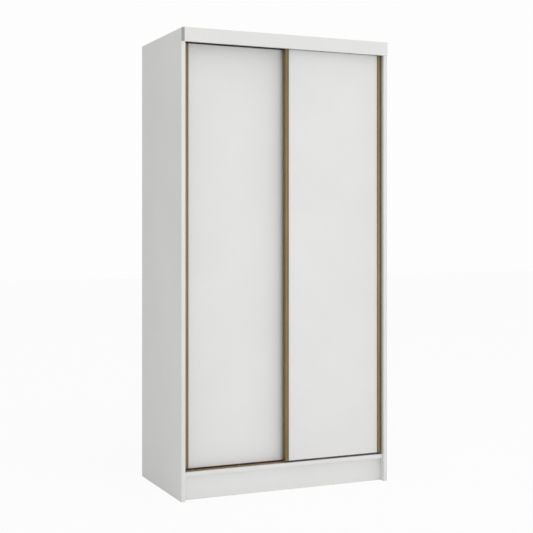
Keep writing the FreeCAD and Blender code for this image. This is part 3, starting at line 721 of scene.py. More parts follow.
@dataclass(frozen=True)
class Finish:
    """A finish: its name, the material slot it belongs to, its tones and its roughness."""

    name: str
    slot: str
    tone: Colour
    shade: Colour
    roughness: float

    def material(self) -> bpy.types.Material:
        """Find the finish's material, built when it is first asked for.

        Returns:
            The material.
        """
        found = bpy.data.materials.get(self.name)
        if found:
            return found
        made = bpy.data.materials.new(self.name)
        made.use_nodes = True
        made.diffuse_color = rgba(self.tone)
        made.node_tree.nodes.clear()
        graph = Graph(made.node_tree)
        shader = graph.add("BsdfPrincipled")
        graph.add("OutputMaterial", {"Surface": shader.outputs[0]})
        graph.feed(shader, self.dress(graph))
        return made

    def dress(self, graph: Graph) -> dict:
        """Build the finish's colour, gloss and relief.

        Args:
            graph: The material's graph.

        Returns:
            The shader's inputs.
        """
        raise NotImplementedError

    def tones(self, graph: Graph, scale: float, specks: float,
              share: float) -> tuple[bpy.types.NodeSocket, bpy.types.NodeSocket]:
        """Mottle the finish's two tones.

        Args:
            graph: The material's graph.
            scale: The scale of the broad patches.
            specks: The scale of the fine specks.
            share: How much the specks add.

        Returns:
            The colour, and the mask of the darker tone.
        """
        mottle = graph.effect(Effect.MOTTLE, {
            "Tone": rgba(self.tone), "Shade": rgba(self.shade), "Scale": scale,
            "Speck Scale": specks, "Speck": share})
        return mottle.outputs["Color"], mottle.outputs["Mask"]

    def pale(self, factor: float) -> tuple[float, float, float, float]:
        """Return the finish's tone made paler by a factor."""
        return rgba(tuple(min(1.0, c * factor) for c in self.tone))

    def rough(self, graph: Graph, mask: bpy.types.NodeSocket,
              change: float) -> bpy.types.NodeSocket:
        """Return a roughness that rises by a change where a mask is 1."""
        return graph.fit(mask, 0.0, 1.0, self.roughness, self.roughness + change)

    def worn(self, graph: Graph, colour: bpy.types.NodeSocket, bright: Colour, amount: float,
             radius: float = 0.5 * MM) -> bpy.types.NodeSocket:
        """Rub the colour off the outer edges.

        Args:
            graph: The material's graph.
            colour: The colour of the whole skin.
            bright: The colour that comes through.
            amount: How much of it shows.
            radius: How far the wear reaches from an edge.

        Returns:
            The colour.
        """
        wear = graph.effect(Effect.WEAR, {"Radius": radius, "Amount": amount})
        return graph.mix(wear.outputs["Mask"], colour, rgba(bright))

    @staticmethod
    def relief(graph: Graph, height: bpy.types.NodeSocket, depth: float,
               strength: float) -> bpy.types.NodeSocket:
        """Return a normal from a relief of some depth in metres."""
        values = {"Height": height, "Distance": depth, "Strength": strength}
        return graph.add("Bump", values).outputs[0]


@dataclass(frozen=True)
class CoatedBoard(Finish):
    """Melamine pressed on chipboard: satin white with a fine orange peel."""

    peel_scale: float = 700.0
    peel_depth: float = 0.02 * MM

    def dress(self, graph: Graph) -> dict:
        """Build the coat's soft tones and its peel.

        Args:
            graph: The material's graph.

        Returns:
            The shader's inputs.
        """
        colour, mask = self.tones(graph, scale=2.6, specks=900.0, share=0.35)
        peel = graph.effect(Effect.TEXTURE, {"Scale": self.peel_scale, "Waviness": 0.5})
        return {"Base Color": colour, "Roughness": self.rough(graph, mask, change=0.06),
                "Normal": self.relief(graph, peel.outputs["Height"], depth=self.peel_depth,
                                      strength=0.6)}


@dataclass(frozen=True)
class EdgeBanding(Finish):
    """Plastic edge banding, smoother than the board and scraped along its length."""

    stretch: tuple[float, float, float] = (40.0, 900.0, 40.0)

    def dress(self, graph: Graph) -> dict:
        """Build the band's tones and its scraped lines.

        Args:
            graph: The material's graph.

        Returns:
            The shader's inputs.
        """
        colour, _ = self.tones(graph, scale=5.0, specks=1200.0, share=0.15)
        scraped = graph.effect(Effect.BRUSH, {"Stretch": self.stretch, "Broad": 0.4})
        return {"Base Color": colour,
                "Roughness": self.rough(graph, scraped.outputs["Lines"], change=0.08),
                "Normal": self.relief(graph, scraped.outputs["Height"], depth=0.01 * MM,
                                      strength=0.5)}


@dataclass(frozen=True)
class RawChipboard(Finish):
    """The cut edge of chipboard: pressed flakes with dark gaps between them."""

    flake_scale: float = 420.0

    def dress(self, graph: Graph) -> dict:
        """Build the flakes, some of them paler.

        Args:
            graph: The material's graph.

        Returns:
            The shader's inputs.
        """
        flakes = graph.add("TexVoronoi", {"Vector": graph.place(), "Scale": self.flake_scale})
        colour, mask = self.tones(graph, scale=30.0, specks=700.0, share=0.8)
        chance = graph.add("SeparateColor", {0: flakes.outputs["Color"]}).outputs[0]
        colour = graph.mix(graph.fit(chance, 0.2, 0.9, 0.0, 0.55), colour, self.pale(1.35))
        return {"Base Color": colour, "Roughness": self.rough(graph, mask, change=0.1),
                "Normal": self.relief(graph, flakes.outputs["Distance"], depth=0.3 * MM,
                                      strength=0.8)}


@dataclass(frozen=True)
class Hardboard(Finish):
    """The bare rear of hardboard: matted fibres, with the print of the press screen."""

    screen_scale: float = 3120.0
    print_share: float = 0.4
    fibre_stretch: tuple[float, float, float] = (1.0, 1.0, 0.25)

    def dress(self, graph: Graph) -> dict:
        """Build the fibres and the screen's print.

        Args:
            graph: The material's graph.

        Returns:
            The shader's inputs.
        """
        colour, mask = self.tones(graph, scale=14.0, specks=500.0, share=0.5)
        fibres = graph.noise(graph.stretched(self.fibre_stretch), 420.0, 4.0, 0.7)
        colour = graph.mix(graph.fit(fibres, 0.35, 0.7, 0.0, 0.45), colour, self.pale(1.5))
        parts = graph.add("SeparateXYZ", {0: graph.place()})
        across, upward = [
            graph.math("SINE", graph.math("MULTIPLY", parts.outputs[i], self.screen_scale))
            for i in (Axis.X.value, Axis.Z.value)]
        screen = graph.math("MULTIPLY", graph.math("MULTIPLY", across, upward), self.print_share)
        height = graph.math("ADD", screen, fibres)
        return {"Base Color": colour, "Roughness": self.rough(graph, mask, change=0.08),
                "Normal": self.relief(graph, height, depth=0.12 * MM, strength=0.8)}


@dataclass(frozen=True)
class DrawnMetal(Finish):
    """Anodised or plated metal with fine lines along its length and rubbed edges."""

    stretch: tuple[float, float, float] = (700.0, 700.0, 5.0)
    lines: float = 0.1
    depth: float = 0.006 * MM
    bright: Colour = (0.85, 0.85, 0.85)
    wear: float = 0.35

    def dress(self, graph: Graph) -> dict:
        """Build the drawn lines and the rubbed edges.

        Args:
            graph: The material's graph.

        Returns:
            The shader's inputs.
        """
        colour, _ = self.tones(graph, scale=7.0, specks=900.0, share=0.2)
        brushed = graph.effect(Effect.BRUSH, {"Stretch": self.stretch, "Broad": 0.35})
        lines = brushed.outputs["Lines"]
        colour = graph.mix(graph.math("MULTIPLY", lines, 0.35), colour, rgba(self.shade))
        return {"Metallic": 1.0, "Base Color": self.worn(graph, colour, self.bright, self.wear),
                "Roughness": self.rough(graph, lines, self.lines),
                "Normal": self.relief(graph, brushed.outputs["Height"], depth=self.depth,
                                      strength=0.7)}


@dataclass(frozen=True)
class Casting(Finish):
    """Metal with a cast or plated skin: cloudy tone, fine pits and rubbed edges."""

    pit_scale: float = 1500.0
    depth: float = 0.02 * MM
    bright: Colour = (0.8, 0.8, 0.8)

    def dress(self, graph: Graph) -> dict:
        """Build the cloudy tones and the pits.

        Args:
            graph: The material's graph.

        Returns:
            The shader's inputs.
        """
        colour, mask = self.tones(graph, scale=90.0, specks=2200.0, share=0.4)
        pits = graph.effect(Effect.TEXTURE, {"Scale": self.pit_scale, "Waviness": 0.0})
        return {"Metallic": 1.0,
                "Base Color": self.worn(graph, colour, self.bright, amount=0.5, radius=0.4 * MM),
                "Roughness": self.rough(graph, mask, change=0.12),
                "Normal": self.relief(graph, pits.outputs["Height"], depth=self.depth,
                                      strength=0.6)}


@dataclass(frozen=True)
class Moulded(Finish):
    """Moulded plastic or rubber: a fine spark texture, soft tone changes, pale edges."""

    grain_scale: float = 1600.0
    depth: float = 0.03 * MM
    rubbed: Colour = (0.9, 0.9, 0.9)
    wear: float = 0.15

    def dress(self, graph: Graph) -> dict:
        """Build the spark texture and the pale edges.

        Args:
            graph: The material's graph.

        Returns:
            The shader's inputs.
        """
        colour, mask = self.tones(graph, scale=40.0, specks=2400.0, share=0.3)
        grain = graph.effect(Effect.TEXTURE, {"Scale": self.grain_scale, "Waviness": 0.1})
        return {"Base Color": self.worn(graph, colour, self.rubbed, self.wear),
                "Roughness": self.rough(graph, mask, change=0.1),
                "Normal": self.relief(graph, grain.outputs["Height"], depth=self.depth,
                                      strength=0.6)}


@dataclass(frozen=True)
class PileFabric(Finish):
    """Dense upright fibres with a soft sheen."""

    stretch: tuple[float, float, float] = (300.0, 300.0, 3000.0)

    def dress(self, graph: Graph) -> dict:
        """Build the fibres.

        Args:
            graph: The material's graph.

        Returns:
            The shader's inputs.
        """
        colour, mask = self.tones(graph, scale=60.0, specks=1800.0, share=0.7)
        fibres = graph.effect(Effect.BRUSH, {"Stretch": self.stretch, "Broad": 0.2})
        dark = graph.math("MULTIPLY", fibres.outputs["Lines"], 0.5)
        return {"Sheen Weight": 0.5, "Sheen Roughness": 0.4,
                "Base Color": graph.mix(dark, colour, rgba(self.shade)),
                "Roughness": self.rough(graph, mask, change=0.05),
                "Normal": self.relief(graph, fibres.outputs["Height"], depth=0.2 * MM,
                                      strength=0.8)}


@dataclass(frozen=True)
class TurnedWood(Finish):
    """Beech with its short dark flecks along the grain."""

    stretch: tuple[float, float, float] = (90.0, 1200.0, 1200.0)

    def dress(self, graph: Graph) -> dict:
        """Build the grain and its flecks.

        Args:
            graph: The material's graph.

        Returns:
            The shader's inputs.
        """
        colour, _ = self.tones(graph, scale=80.0, specks=900.0, share=0.3)
        grain = graph.effect(Effect.BRUSH, {"Stretch": self.stretch, "Broad": 0.5})
        lines = grain.outputs["Lines"]
        dark = graph.math("MULTIPLY", lines, 0.6)
        return {"Base Color": graph.mix(dark, colour, rgba(self.shade)),
                "Roughness": self.rough(graph, lines, change=0.1),
                "Normal": self.relief(graph, grain.outputs["Height"], depth=0.05 * MM,
                                      strength=0.8)}


BOARD_WHITE = CoatedBoard("white_melamine", "white_board", (0.83, 0.829, 0.818),
                          (0.80, 0.799, 0.788), 0.42)
BAND_WHITE = EdgeBanding("white_edge_banding", "white_board", (0.82, 0.822, 0.82),
                         (0.785, 0.785, 0.78), 0.4)
# Painted shade: a darker grey on the fascia's end faces that stands in for the shadow falling on
# them.
FASCIA_END_SHADE = EdgeBanding("fascia_end_painted_shade", "white_board", (0.47, 0.465, 0.455),
                        (0.42, 0.415, 0.405), 0.45, (900.0, 60.0, 60.0))
CHIPS = RawChipboard("raw_chipboard", "white_board", (0.50, 0.36, 0.22), (0.30, 0.20, 0.11), 0.8)
LACQUERED = CoatedBoard("white_lacquered_hardboard", "back_board", (0.80, 0.80, 0.785),
                        (0.77, 0.77, 0.755), 0.5, 420.0, 0.04 * MM)
FIBRE = Hardboard("brown_hardboard", "back_board", (0.26, 0.16, 0.09), (0.18, 0.105, 0.055), 0.72)
GOLD_UPRIGHT = DrawnMetal("champagne_anodised_upright", "gold_aluminium", (0.27, 0.195, 0.105),
                          (0.22, 0.158, 0.083), 0.42, bright=(0.48, 0.38, 0.24), wear=0.22)
GOLD_TRACK = DrawnMetal("champagne_anodised_track", "gold_aluminium", (0.27, 0.195, 0.105),
                        (0.22, 0.158, 0.083), 0.42, (5.0, 700.0, 700.0),
                        bright=(0.48, 0.38, 0.24), wear=0.4)
# Painted shade: the top track's dark bronze tone stands in for the deep shadow under the fascia
# where the track hangs.
TOP_TRACK_SHADE = DrawnMetal("top_track_painted_shade", "bronze_aluminium", (0.075, 0.055, 0.037),
                    (0.055, 0.04, 0.027), 0.45, (5.0, 700.0, 700.0),
                    bright=(0.22, 0.175, 0.125), wear=0.2)
ZINC = Casting("bright_zinc_plate", "zinc_steel", (0.66, 0.68, 0.70), (0.56, 0.555, 0.50), 0.28,
               bright=(0.86, 0.87, 0.88))
CHROME = DrawnMetal("chrome_plate", "chrome_steel", (0.80, 0.81, 0.82), (0.74, 0.755, 0.77), 0.08,
                    (5.0, 500.0, 500.0), lines=0.05, depth=0.002 * MM, wear=0.1)
DIE_CAST = Casting("die_cast_zinc", "zinc_casting", (0.50, 0.51, 0.52), (0.38, 0.385, 0.39), 0.42)
PLASTIC_WHITE = Moulded("moulded_white_plastic", "white_plastic", (0.80, 0.80, 0.78),
                        (0.75, 0.75, 0.725), 0.45)
NYLON = Moulded("natural_nylon", "nylon", (0.74, 0.725, 0.66), (0.66, 0.64, 0.57), 0.38)
PLASTIC_GREY = Moulded("moulded_grey_plastic", "grey_plastic", (0.22, 0.22, 0.225),
                       (0.17, 0.17, 0.175), 0.5, rubbed=(0.42, 0.42, 0.43), wear=0.4)
RUBBER = Moulded("black_rubber", "black_rubber", (0.035, 0.035, 0.036), (0.06, 0.058, 0.055), 0.75,
                 900.0, 0.06 * MM, (0.16, 0.155, 0.15), 0.35)
PILE = PileFabric("pile_strip", "pile", (0.14, 0.11, 0.085), (0.07, 0.055, 0.042), 0.85)
BEECH = TurnedWood("turned_beech", "dowel_wood", (0.66, 0.47, 0.28), (0.46, 0.29, 0.15), 0.6)


def dress_node(node: str, finish: Finish) -> None:
    """Keep a frame node's shape and give it a better finish.

    Args:
        node: The frame node.
        finish: The finish.
    """
    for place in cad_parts[node].material_slots:
        place.material = finish.material()
    log.info("%s keeps its shape, in %s", node, finish.name)


def deliver(name: str, pieces: Sequence[bpy.types.Object], finish: Finish, body: str,
            node: str) -> None:
    """Join the parts of a piece, give it its finish and hand it over.

    Args:
        name: The piece's name.
        pieces: Its parts.
        finish: Its finish.
        body: The body that it rides on.
        node: The frame node that it stands for.
    """
    piece = joined(name, pieces)
    piece.data.materials.append(finish.material())
    hand_over(piece, body, node)


# ---------------------------------------------------------------- fittings that repeat

@dataclass
class PanScrews:
    """Pan head screws with a cross recess, all the screws of one node."""

    node: str
    body: str
    head_height: float = 1.5 * MM
    dome: tuple[Point, ...] = ((0.0, 1.0), (0.45, 0.99), (0.75, 0.88), (0.93, 0.62), (1.0, 0.25),
                               (0.98, 0.0))
    tip_share: float = 2.0
    recess_share: float = 0.62
    recess_floor: float = 0.3
    recess_width: float = 0.8 * MM
    steps: int = 20
    smooth: float = 35.0
    templates: dict[tuple[int, ...], bpy.types.Object] = field(default_factory=dict)

    def template(self, head: float, shank: float, length: float) -> bpy.types.Object:
        """Model one screw upright, its head's underside at the origin.

        Args:
            head: The head's radius.
            shank: The shank's radius.
            length: The length under the head.

        Returns:
            The screw.
        """
        key = tuple(round(v / MM * 100) for v in (head, shank, length))
        if key in self.templates:
            return self.templates[key]
        top = self.head_height
        profile = [(head * across, top * up) for across, up in self.dome]
        profile += [(shank, 0.0), (shank, -length + self.tip_share * shank), (0.0, -length)]
        screw = lathe("screw", profile, self.steps)
        cut_cross(screw, head * self.recess_share, self.recess_width / 2.0,
                  top * self.recess_floor, top * 2.0)
        self.templates[key] = shade(screw, self.smooth)
        return screw

    def build(self) -> None:
        """Put a screw at each place and hand them over as one piece."""
        copies = []
        for solid in solids_of(self.node):
            size = solid.span.size
            axis = max(Axis, key=lambda a: size[a.value])
            low, high = solid.end_widths(axis)
            way = axis.unit * (1.0 if high > low else -1.0)
            seat = solid.span.centre + way * (size[axis.value] / 2.0 - self.head_height)
            template = self.template(max(low, high) / 2.0, min(low, high) / 2.0,
                                     size[axis.value] - self.head_height)
            copies.append(copied(template, seat, way))
        for template in self.templates.values():
            bpy.data.objects.remove(template)
        deliver(f"{self.node}_set", copies, ZINC, self.body, self.node)


@dataclass
class RoundFittings:
    """Fittings turned to one profile and set at every place of a node."""

    node: str
    finish: Finish
    profile: Sequence[Point]
    axis: Axis
    sign: int = 1
    steps: int = 24
    smooth: float = 35.0

    def build(self) -> None:
        """Turn one fitting, copy it to each place and hand them over as one piece."""
        template = shade(lathe("fitting", self.profile, self.steps), self.smooth)
        copies = []
        for solid in solids_of(self.node):
            span = solid.span
            end = span.high if self.sign > 0 else span.low
            seat = span.centre
            seat[self.axis.value] = end[self.axis.value]
            copies.append(copied(template, seat, self.axis.unit * self.sign))
        bpy.data.objects.remove(template)
        deliver(f"{self.node}_set", copies, self.finish, CARCASS, self.node)


@dataclass
class CamLocks:
    """Die-cast cams: a ringed face with a cross slot and a raised pointer to its bolt."""

    node: str = "cam_locks"
    gap: float = 0.1 * MM
    sink: float = 0.15 * MM
    ring: float = 1.1 * MM
    slope: float = 0.3 * MM
    dish_depth: float = 0.35 * MM
    waist: float = 0.8
    waist_heights: tuple[float, ...] = (0.35, 0.4, 0.75, 0.8)
    slot_length: float = 9.0 * MM
    slot_width: float = 1.6 * MM
    slot_depth: float = 2.0 * MM
    pointer_half: float = 0.8 * MM
    pointer_foot: float = 3.2 * MM
    pointer_tip: float = 1.6 * MM
    pointer_root: float = 0.1 * MM
    edge: float = 0.12 * MM
    mouth_reach: float = 1.2
    steps: int = 32

    def template(self, radius: float, height: float) -> bpy.types.Object:
        """Model one cam, its face upwards at the origin.

        Args:
            radius: The hole's radius.
            height: The depth of the hole.

        Returns:
            The cam.
        """
        r = radius - self.gap
        face = -self.sink
        dish = face - self.dish_depth
        top, narrow, wide, low = [-height * share for share in self.waist_heights]
        floor = -height + self.gap
        profile = [
            (0.0, dish), (r - self.ring - self.slope, dish), (r - self.ring, face),
            (r - self.slope, face), (r, face - self.slope), (r, top), (r * self.waist, narrow),
            (r * self.waist, wide), (r, low), (r, floor), (0.0, floor),
        ]
        cam = lathe("cam", profile, self.steps)
        cut_cross(cam, self.slot_length / 2.0, self.slot_width / 2.0, dish - self.slot_depth,
                  OVERCUT)
        foot = r - self.pointer_foot
        pointer = section("pointer", [(-self.pointer_half, foot), (self.pointer_half, foot),
                                      (0.0, r - self.pointer_tip)], Axis.Z,
                          dish - self.pointer_root, face)
        return soften(joined("cam", [cam, pointer]), self.edge, 1)

    @staticmethod
    def facing(solid: Solid) -> tuple[Axis, float]:
        """Find how a cam lies.

        Args:
            solid: The cam.

        Returns:
            Its axis, and the sign of the way in which its face points.
        """
        size = solid.span.size
        axis = min(Axis, key=lambda a: size[a.value])
        low, high = solid.ends(axis)
        return axis, 1.0 if len(high) > len(low) else -1.0

    def build(self) -> None:
        """Put a cam at each place and hand them over as one piece."""
        solids = solids_of(self.node)
        size = solids[0].span.size
        template = self.template(max(size) / 2.0, min(size))
        copies = []
        for solid in solids:
            axis, sign = self.facing(solid)
            way = axis.unit * sign
            mouth = solid.span.centre + way * solid.span.size[axis.value] / 2.0
            copies.append(copied(template, mouth, way))
        bpy.data.objects.remove(template)
        deliver("cam_lock_set", copies, DIE_CAST, CARCASS, self.node)

    def mouths(self, span: Span) -> list[bpy.types.Object]:
        """Make the shapes of the cam holes that open inside one board.

        Args:
            span: The board's box.

        Returns:
            The shapes.
        """
        tools = []
        for solid in solids_of(self.node):
            hole = solid.span
            if span.holds(hole.centre):
                axis, sign = self.facing(solid)
                reach = axis.unit * hole.size[axis.value] / 2.0 * sign
                tools.append(rod("hole", hole.centre - reach,
                                 hole.centre + reach * self.mouth_reach, max(hole.size) / 2.0,
                                 self.steps))
        return tools


@dataclass
class ShelfPins:
    """Plated shelf pins, with a flat seat and a turned plug, and the row of holes for each."""

    node: str = "shelf_pins"
    plug_length: float = 9.0 * MM
    plug_radius: float = 2.5 * MM
    plug_root: float = 0.5 * MM
    plug_edge: float = 0.4 * MM
    seat_edge: float = 0.7 * MM
    hole_depth: float = 10.0 * MM
    pitch: float = 32.0 * MM
    clearance: float = 0.05 * MM
    steps: int = 20

    def build(self) -> None:
        """Model a pin at each place and hand them over as one piece."""
        pins = []
        for solid in solids_of(self.node):
            span = solid.span
            low, high = solid.end_widths(Axis.X)
            sign = 1.0 if high > low else -1.0
            root, tip = (span.low.x, span.high.x) if sign > 0 else (span.high.x, span.low.x)
            face = root + sign * self.plug_length
            seat = block("seat", cuboid((min(face, tip), span.low.y, span.low.z),
                                        (max(face, tip), span.high.y, span.high.z)))
            _, y, z = span.centre
            plug = rod("plug", Vector((root, y, z)),
                       Vector((face + sign * self.plug_root, y, z)),
                       self.plug_radius - self.clearance, self.steps)
            pins += [soften(seat, self.seat_edge, 3), soften(plug, self.plug_edge)]
        deliver("shelf_pin_set", pins, ZINC, CARCASS, self.node)

    def holes(self, face: float) -> list[bpy.types.Object]:
        """Make the shapes of the pin holes in one board's face, a spare above and below each.

        Args:
            face: The place of the board's face on the X axis.

        Returns:
            The shapes.
        """
        tools = []
        reach = Vector((self.hole_depth, 0, 0))
        for solid in solids_of(self.node):
            span = solid.span
            if span.low.x < face < span.high.x:
                for step in (-1, 0, 1):
                    place = Vector((face, span.centre.y, span.centre.z + step * self.pitch))
                    tools.append(rod("hole", place - reach, place + reach, self.plug_radius,
                                     self.steps))
        return tools


# ---------------------------------------------------------------- carcass

@dataclass
class Board:
    """A board with banding on its finished edges and raw chips on the others."""

    node: str
    banded: tuple[Side, ...]
    body: str = CARCASS
    band: float = 0.8 * MM
    arris: float = 0.35 * MM
    arris_margin: float = 1.05
    tools: list[bpy.types.Object] = field(default_factory=list)
    # A darker finish for the board's ends, used as painted shade on the fascia's ends.
    shaded_end_finish: Finish | None = None
    end_facing: float = 0.8
    slant: float = 0.0

    def build(self) -> None:
        """Model the board, dress its faces and hand it over."""
        span = node_span(self.node)
        board = block(f"{self.node}_board", span)
        for vertex in board.data.vertices:
            if vertex.co.y < span.centre.y:
                vertex.co.x -= math.copysign(self.slant, vertex.co.x)
        cut(board, self.tools)
        self.split_bands(board, span)
        soften(board, self.arris)
        self.dress(board, span)
        hand_over(board, self.body, self.node)

    def split_bands(self, board: bpy.types.Object, span: Span) -> None:
        """Cut the faces along the glue line of each band.

        Args:
            board: The board.
            span: Its box.
        """
        pick(board)
        bpy.ops.object.mode_set(mode="EDIT")
        for side in self.banded:
            corner = span.high if side.value[1] > 0 else span.low
            bpy.ops.mesh.select_all(action="SELECT")
            bpy.ops.mesh.bisect(plane_co=corner - side.normal * self.band,
                                plane_no=side.normal)
        bpy.ops.object.mode_set(mode="OBJECT")

    def dress(self, board: bpy.types.Object, span: Span) -> None:
        """Give each face melamine, banding or raw chips, and the ends painted shade where it is
        given.

        Args:
            board: The board.
            span: Its box.
        """
        size = span.size
        broad = min(Axis, key=lambda a: size[a.value])
        board.data.materials.append(BOARD_WHITE.material())
        limit = self.arris * self.arris_margin

        def raw(face: bpy.types.MeshPolygon) -> bool:
            """Tell whether a face belongs to a cut edge or lines a hole.

            Args:
                face: The face.

            Returns:
                Whether it shows raw chips.
            """
            if abs(face.normal[broad.value]) > FACING:
                inside = min(face.center[broad.value] - span.low[broad.value],
                             span.high[broad.value] - face.center[broad.value])
                return inside > limit
            return True

        def banded(face: bpy.types.MeshPolygon) -> bool:
            """Tell whether a face lies in one of the bands."""
            return any(self.depth(face.center, span, side) < self.band for side in self.banded)

        def end(face: bpy.types.MeshPolygon) -> bool:
            """Tell whether a face lies at the board's left or right end."""
            return abs(face.normal.x) > self.end_facing

        paint(board, CHIPS.material(), raw)
        paint(board, BAND_WHITE.material(), banded)
        # The ends get a darker grey that is painted shade, not a banding colour.
        if self.shaded_end_finish:
            paint(board, self.shaded_end_finish.material(), end)

    @staticmethod
    def depth(point: Vector, span: Span, side: Side) -> float:
        """Measure how far inside one side of the board a point lies."""
        corner = span.high if side.value[1] > 0 else span.low
        return (corner - point).dot(side.normal)


@dataclass
class Carcass:
    """Every coated board of the carcass."""

    cams: CamLocks
    pins: ShelfPins
    shelves: int = 4
    fascia_slant: float = 8.0 * MM

    def build(self) -> None:
        """Model all the boards."""
        face = node_span("partition").high.x
        inner = node_span("right_side_panel").low.x
        edges = {
            "left_side_panel": (Side.FRONT, Side.TOP),
            "right_side_panel": (Side.FRONT, Side.TOP),
            "top_panel": (Side.FRONT,),
            "base_panel": (Side.FRONT,),
            "partition": (Side.FRONT,),
            "plinth_front": (Side.BOTTOM,),
            "plinth_rear": (Side.BOTTOM,),
            "plinth_stretcher": (),
            "hat_shelf": (Side.FRONT,),
            "fixed_shelf": (Side.FRONT,),
        }
        rows = {"partition": self.pins.holes(face), "right_side_panel": self.pins.holes(inner)}
        for node, banded in edges.items():
            tools = self.cams.mouths(node_span(node)) + rows.get(node, [])
            Board(node, banded, tools=tools).build()
        for number in range(1, self.shelves + 1):
            Board(f"shelf_{number}", (Side.FRONT,)).build()
        # The fascia's end faces get a darker grey as painted shade.
        Board("fascia", (Side.TOP, Side.BOTTOM), shaded_end_finish=FASCIA_END_SHADE,
              slant=self.fascia_slant).build()


@dataclass
class BackSheets:
    """Two thin back sheets, lacquered inside and bare outside, nailed to the boards."""

    nail_head: float = 2.2 * MM
    nail_gap: float = 0.1 * MM
    nail_sink: float = 0.05 * MM
    nail_edge: float = 0.2 * MM
    nail_crown: float = 0.8
    nail_under: float = 0.7 * MM
    nail_shank: float = 0.8 * MM
    nail_point: float = 17.0 * MM
    nail_length: float = 20.0 * MM
    nail_steps: int = 12
    recess_steps: int = 16
    head_depth: float = 1.0 * MM
    bolt_radius: float = 3.0 * MM
    bolt_drop: float = 18.0 * MM
    bolt_steps: int = 20
    arris: float = 0.2 * MM

    def holes(self, span: Span) -> list[bpy.types.Object]:
        """Make the shapes of one sheet's nail recesses and bolt holes.

        Args:
            span: The sheet's box.

        Returns:
            The shapes.
        """
        front = span.low.y - OVERCUT
        rear = span.high.y + OVERCUT
        tools = []
        for nail in solids_of("back_nails"):
            x, _, z = nail.span.centre
            if span.low.x < x < span.high.x:
                tools.append(rod("recess", Vector((x, span.high.y - self.head_depth, z)),
                                 Vector((x, rear, z)), self.nail_head, self.recess_steps))
        for bracket in solids_of("wall_brackets"):
            x = bracket.span.centre.x
            z = bracket.span.high.z - self.bolt_drop
            if span.low.x < x < span.high.x:
                tools.append(rod("hole", Vector((x, front, z)), Vector((x, rear, z)),
                                 self.bolt_radius, self.bolt_steps))
        return tools

    def build(self) -> None:
        """Model both sheets and the nails."""
        for node in ("back_panel_left", "back_panel_right"):
            span = node_span(node)
            sheet = block(f"{node}_sheet", span)
            cut(sheet, self.holes(span))
            soften(sheet, self.arris, 1)
            sheet.data.materials.append(FIBRE.material())
            paint(sheet, LACQUERED.material(), lambda face: face.normal.y < -FACING)
            hand_over(sheet, CARCASS, node)
        r = self.nail_head - self.nail_gap
        top = -self.nail_sink
        profile = [(0.0, top), (r * self.nail_crown, top), (r, top - self.nail_edge),
                   (r, -self.nail_under), (self.nail_shank, -self.head_depth),
                   (self.nail_shank, -self.nail_point), (0.0, -self.nail_length)]
        RoundFittings("back_nails", ZINC, profile, Axis.Y, 1, self.nail_steps).build()


@dataclass
class Brackets:
    """Pressed steel angles with a gusset and round corners."""

    thickness: float = 2.0 * MM
    bend: float = 1.5 * MM
    bend_steps: int = 5
    rib: float = 4.0 * MM
    rib_share: float = 0.3
    rib_root: float = 0.5
    rib_edge: float = 0.8 * MM
    edge: float = 0.35 * MM
    bolt_radius: float = 3.0 * MM
    bolt_share: float = 0.6
    bolt_overcut: float = 2.0 * MM

    def angle(self, span: Span, rear: bool, bolt: bool) -> bpy.types.Object:
        """Model one angle.

        Args:
            span: The angle's box.
            rear: Whether the upright leg stands at the rear of the box.
            bolt: Whether the upright leg has a hole for a bolt.

        Returns:
            The angle.
        """
        wall = span.high.y if rear else span.low.y
        tip = span.low.y if rear else span.high.y
        way = -1.0 if rear else 1.0
        top, foot = span.high.z, span.low.z
        t = self.thickness
        bend = []
        for step in range(self.bend_steps + 1):
            turn = math.pi / 2.0 * step / self.bend_steps
            bend.append((wall + way * self.bend * (1.0 - math.cos(turn)),
                         top - self.bend * (1.0 - math.sin(turn))))
        outline = [(wall, foot), *bend, (tip, top), (tip, top - t), (wall + way * t, top - t),
                   (wall + way * t, foot)]
        shape = section("angle", outline, Axis.X, span.low.x, span.high.x)
        half = self.rib / 2.0
        x = span.centre.x
        reach = min(span.size.y, span.size.z) * self.rib_share
        root = t * self.rib_root
        ribbed = [(wall + way * root, top - root), (wall + way * (t + reach), top - root),
                  (wall + way * (t + reach), top - t), (wall + way * t, top - t - reach),
                  (wall + way * root, top - t - reach)]
        gusset = section("gusset", ribbed, Axis.X, x - half, x + half)
        if bolt:
            z = top - span.size.z * self.bolt_share
            start = Vector((x, wall - way * OVERCUT, z))
            end = Vector((x, wall + way * (t + self.bolt_overcut), z))
            cut(shape, [rod("hole", start, end, self.bolt_radius)])
        return joined("angle", [soften(shape, self.edge), soften(gusset, self.rib_edge, 3)])

    def build(self) -> None:
        """Model the wall brackets and the fascia brackets."""
        for node, wall in (("wall_brackets", True), ("fascia_brackets", False)):
            angles = [self.angle(solid.span, wall, wall) for solid in solids_of(node)]
            deliver(f"{node}_set", angles, ZINC, CARCASS, node)


@dataclass
class SoftenedNode:
    """A fitting that keeps the frame's shape, with its moulded edges rounded."""

    node: str
    body: str
    finish: Finish
    radius: float = 0.5 * MM
    segments: int = 2

    def build(self) -> None:
        """Weld the shape, round its edges and hand it over."""
        name = f"{self.node}_piece"
        piece = soften(from_node(name, self.node), self.radius, self.segments)
        deliver(name, [piece], self.finish, self.body, self.node)


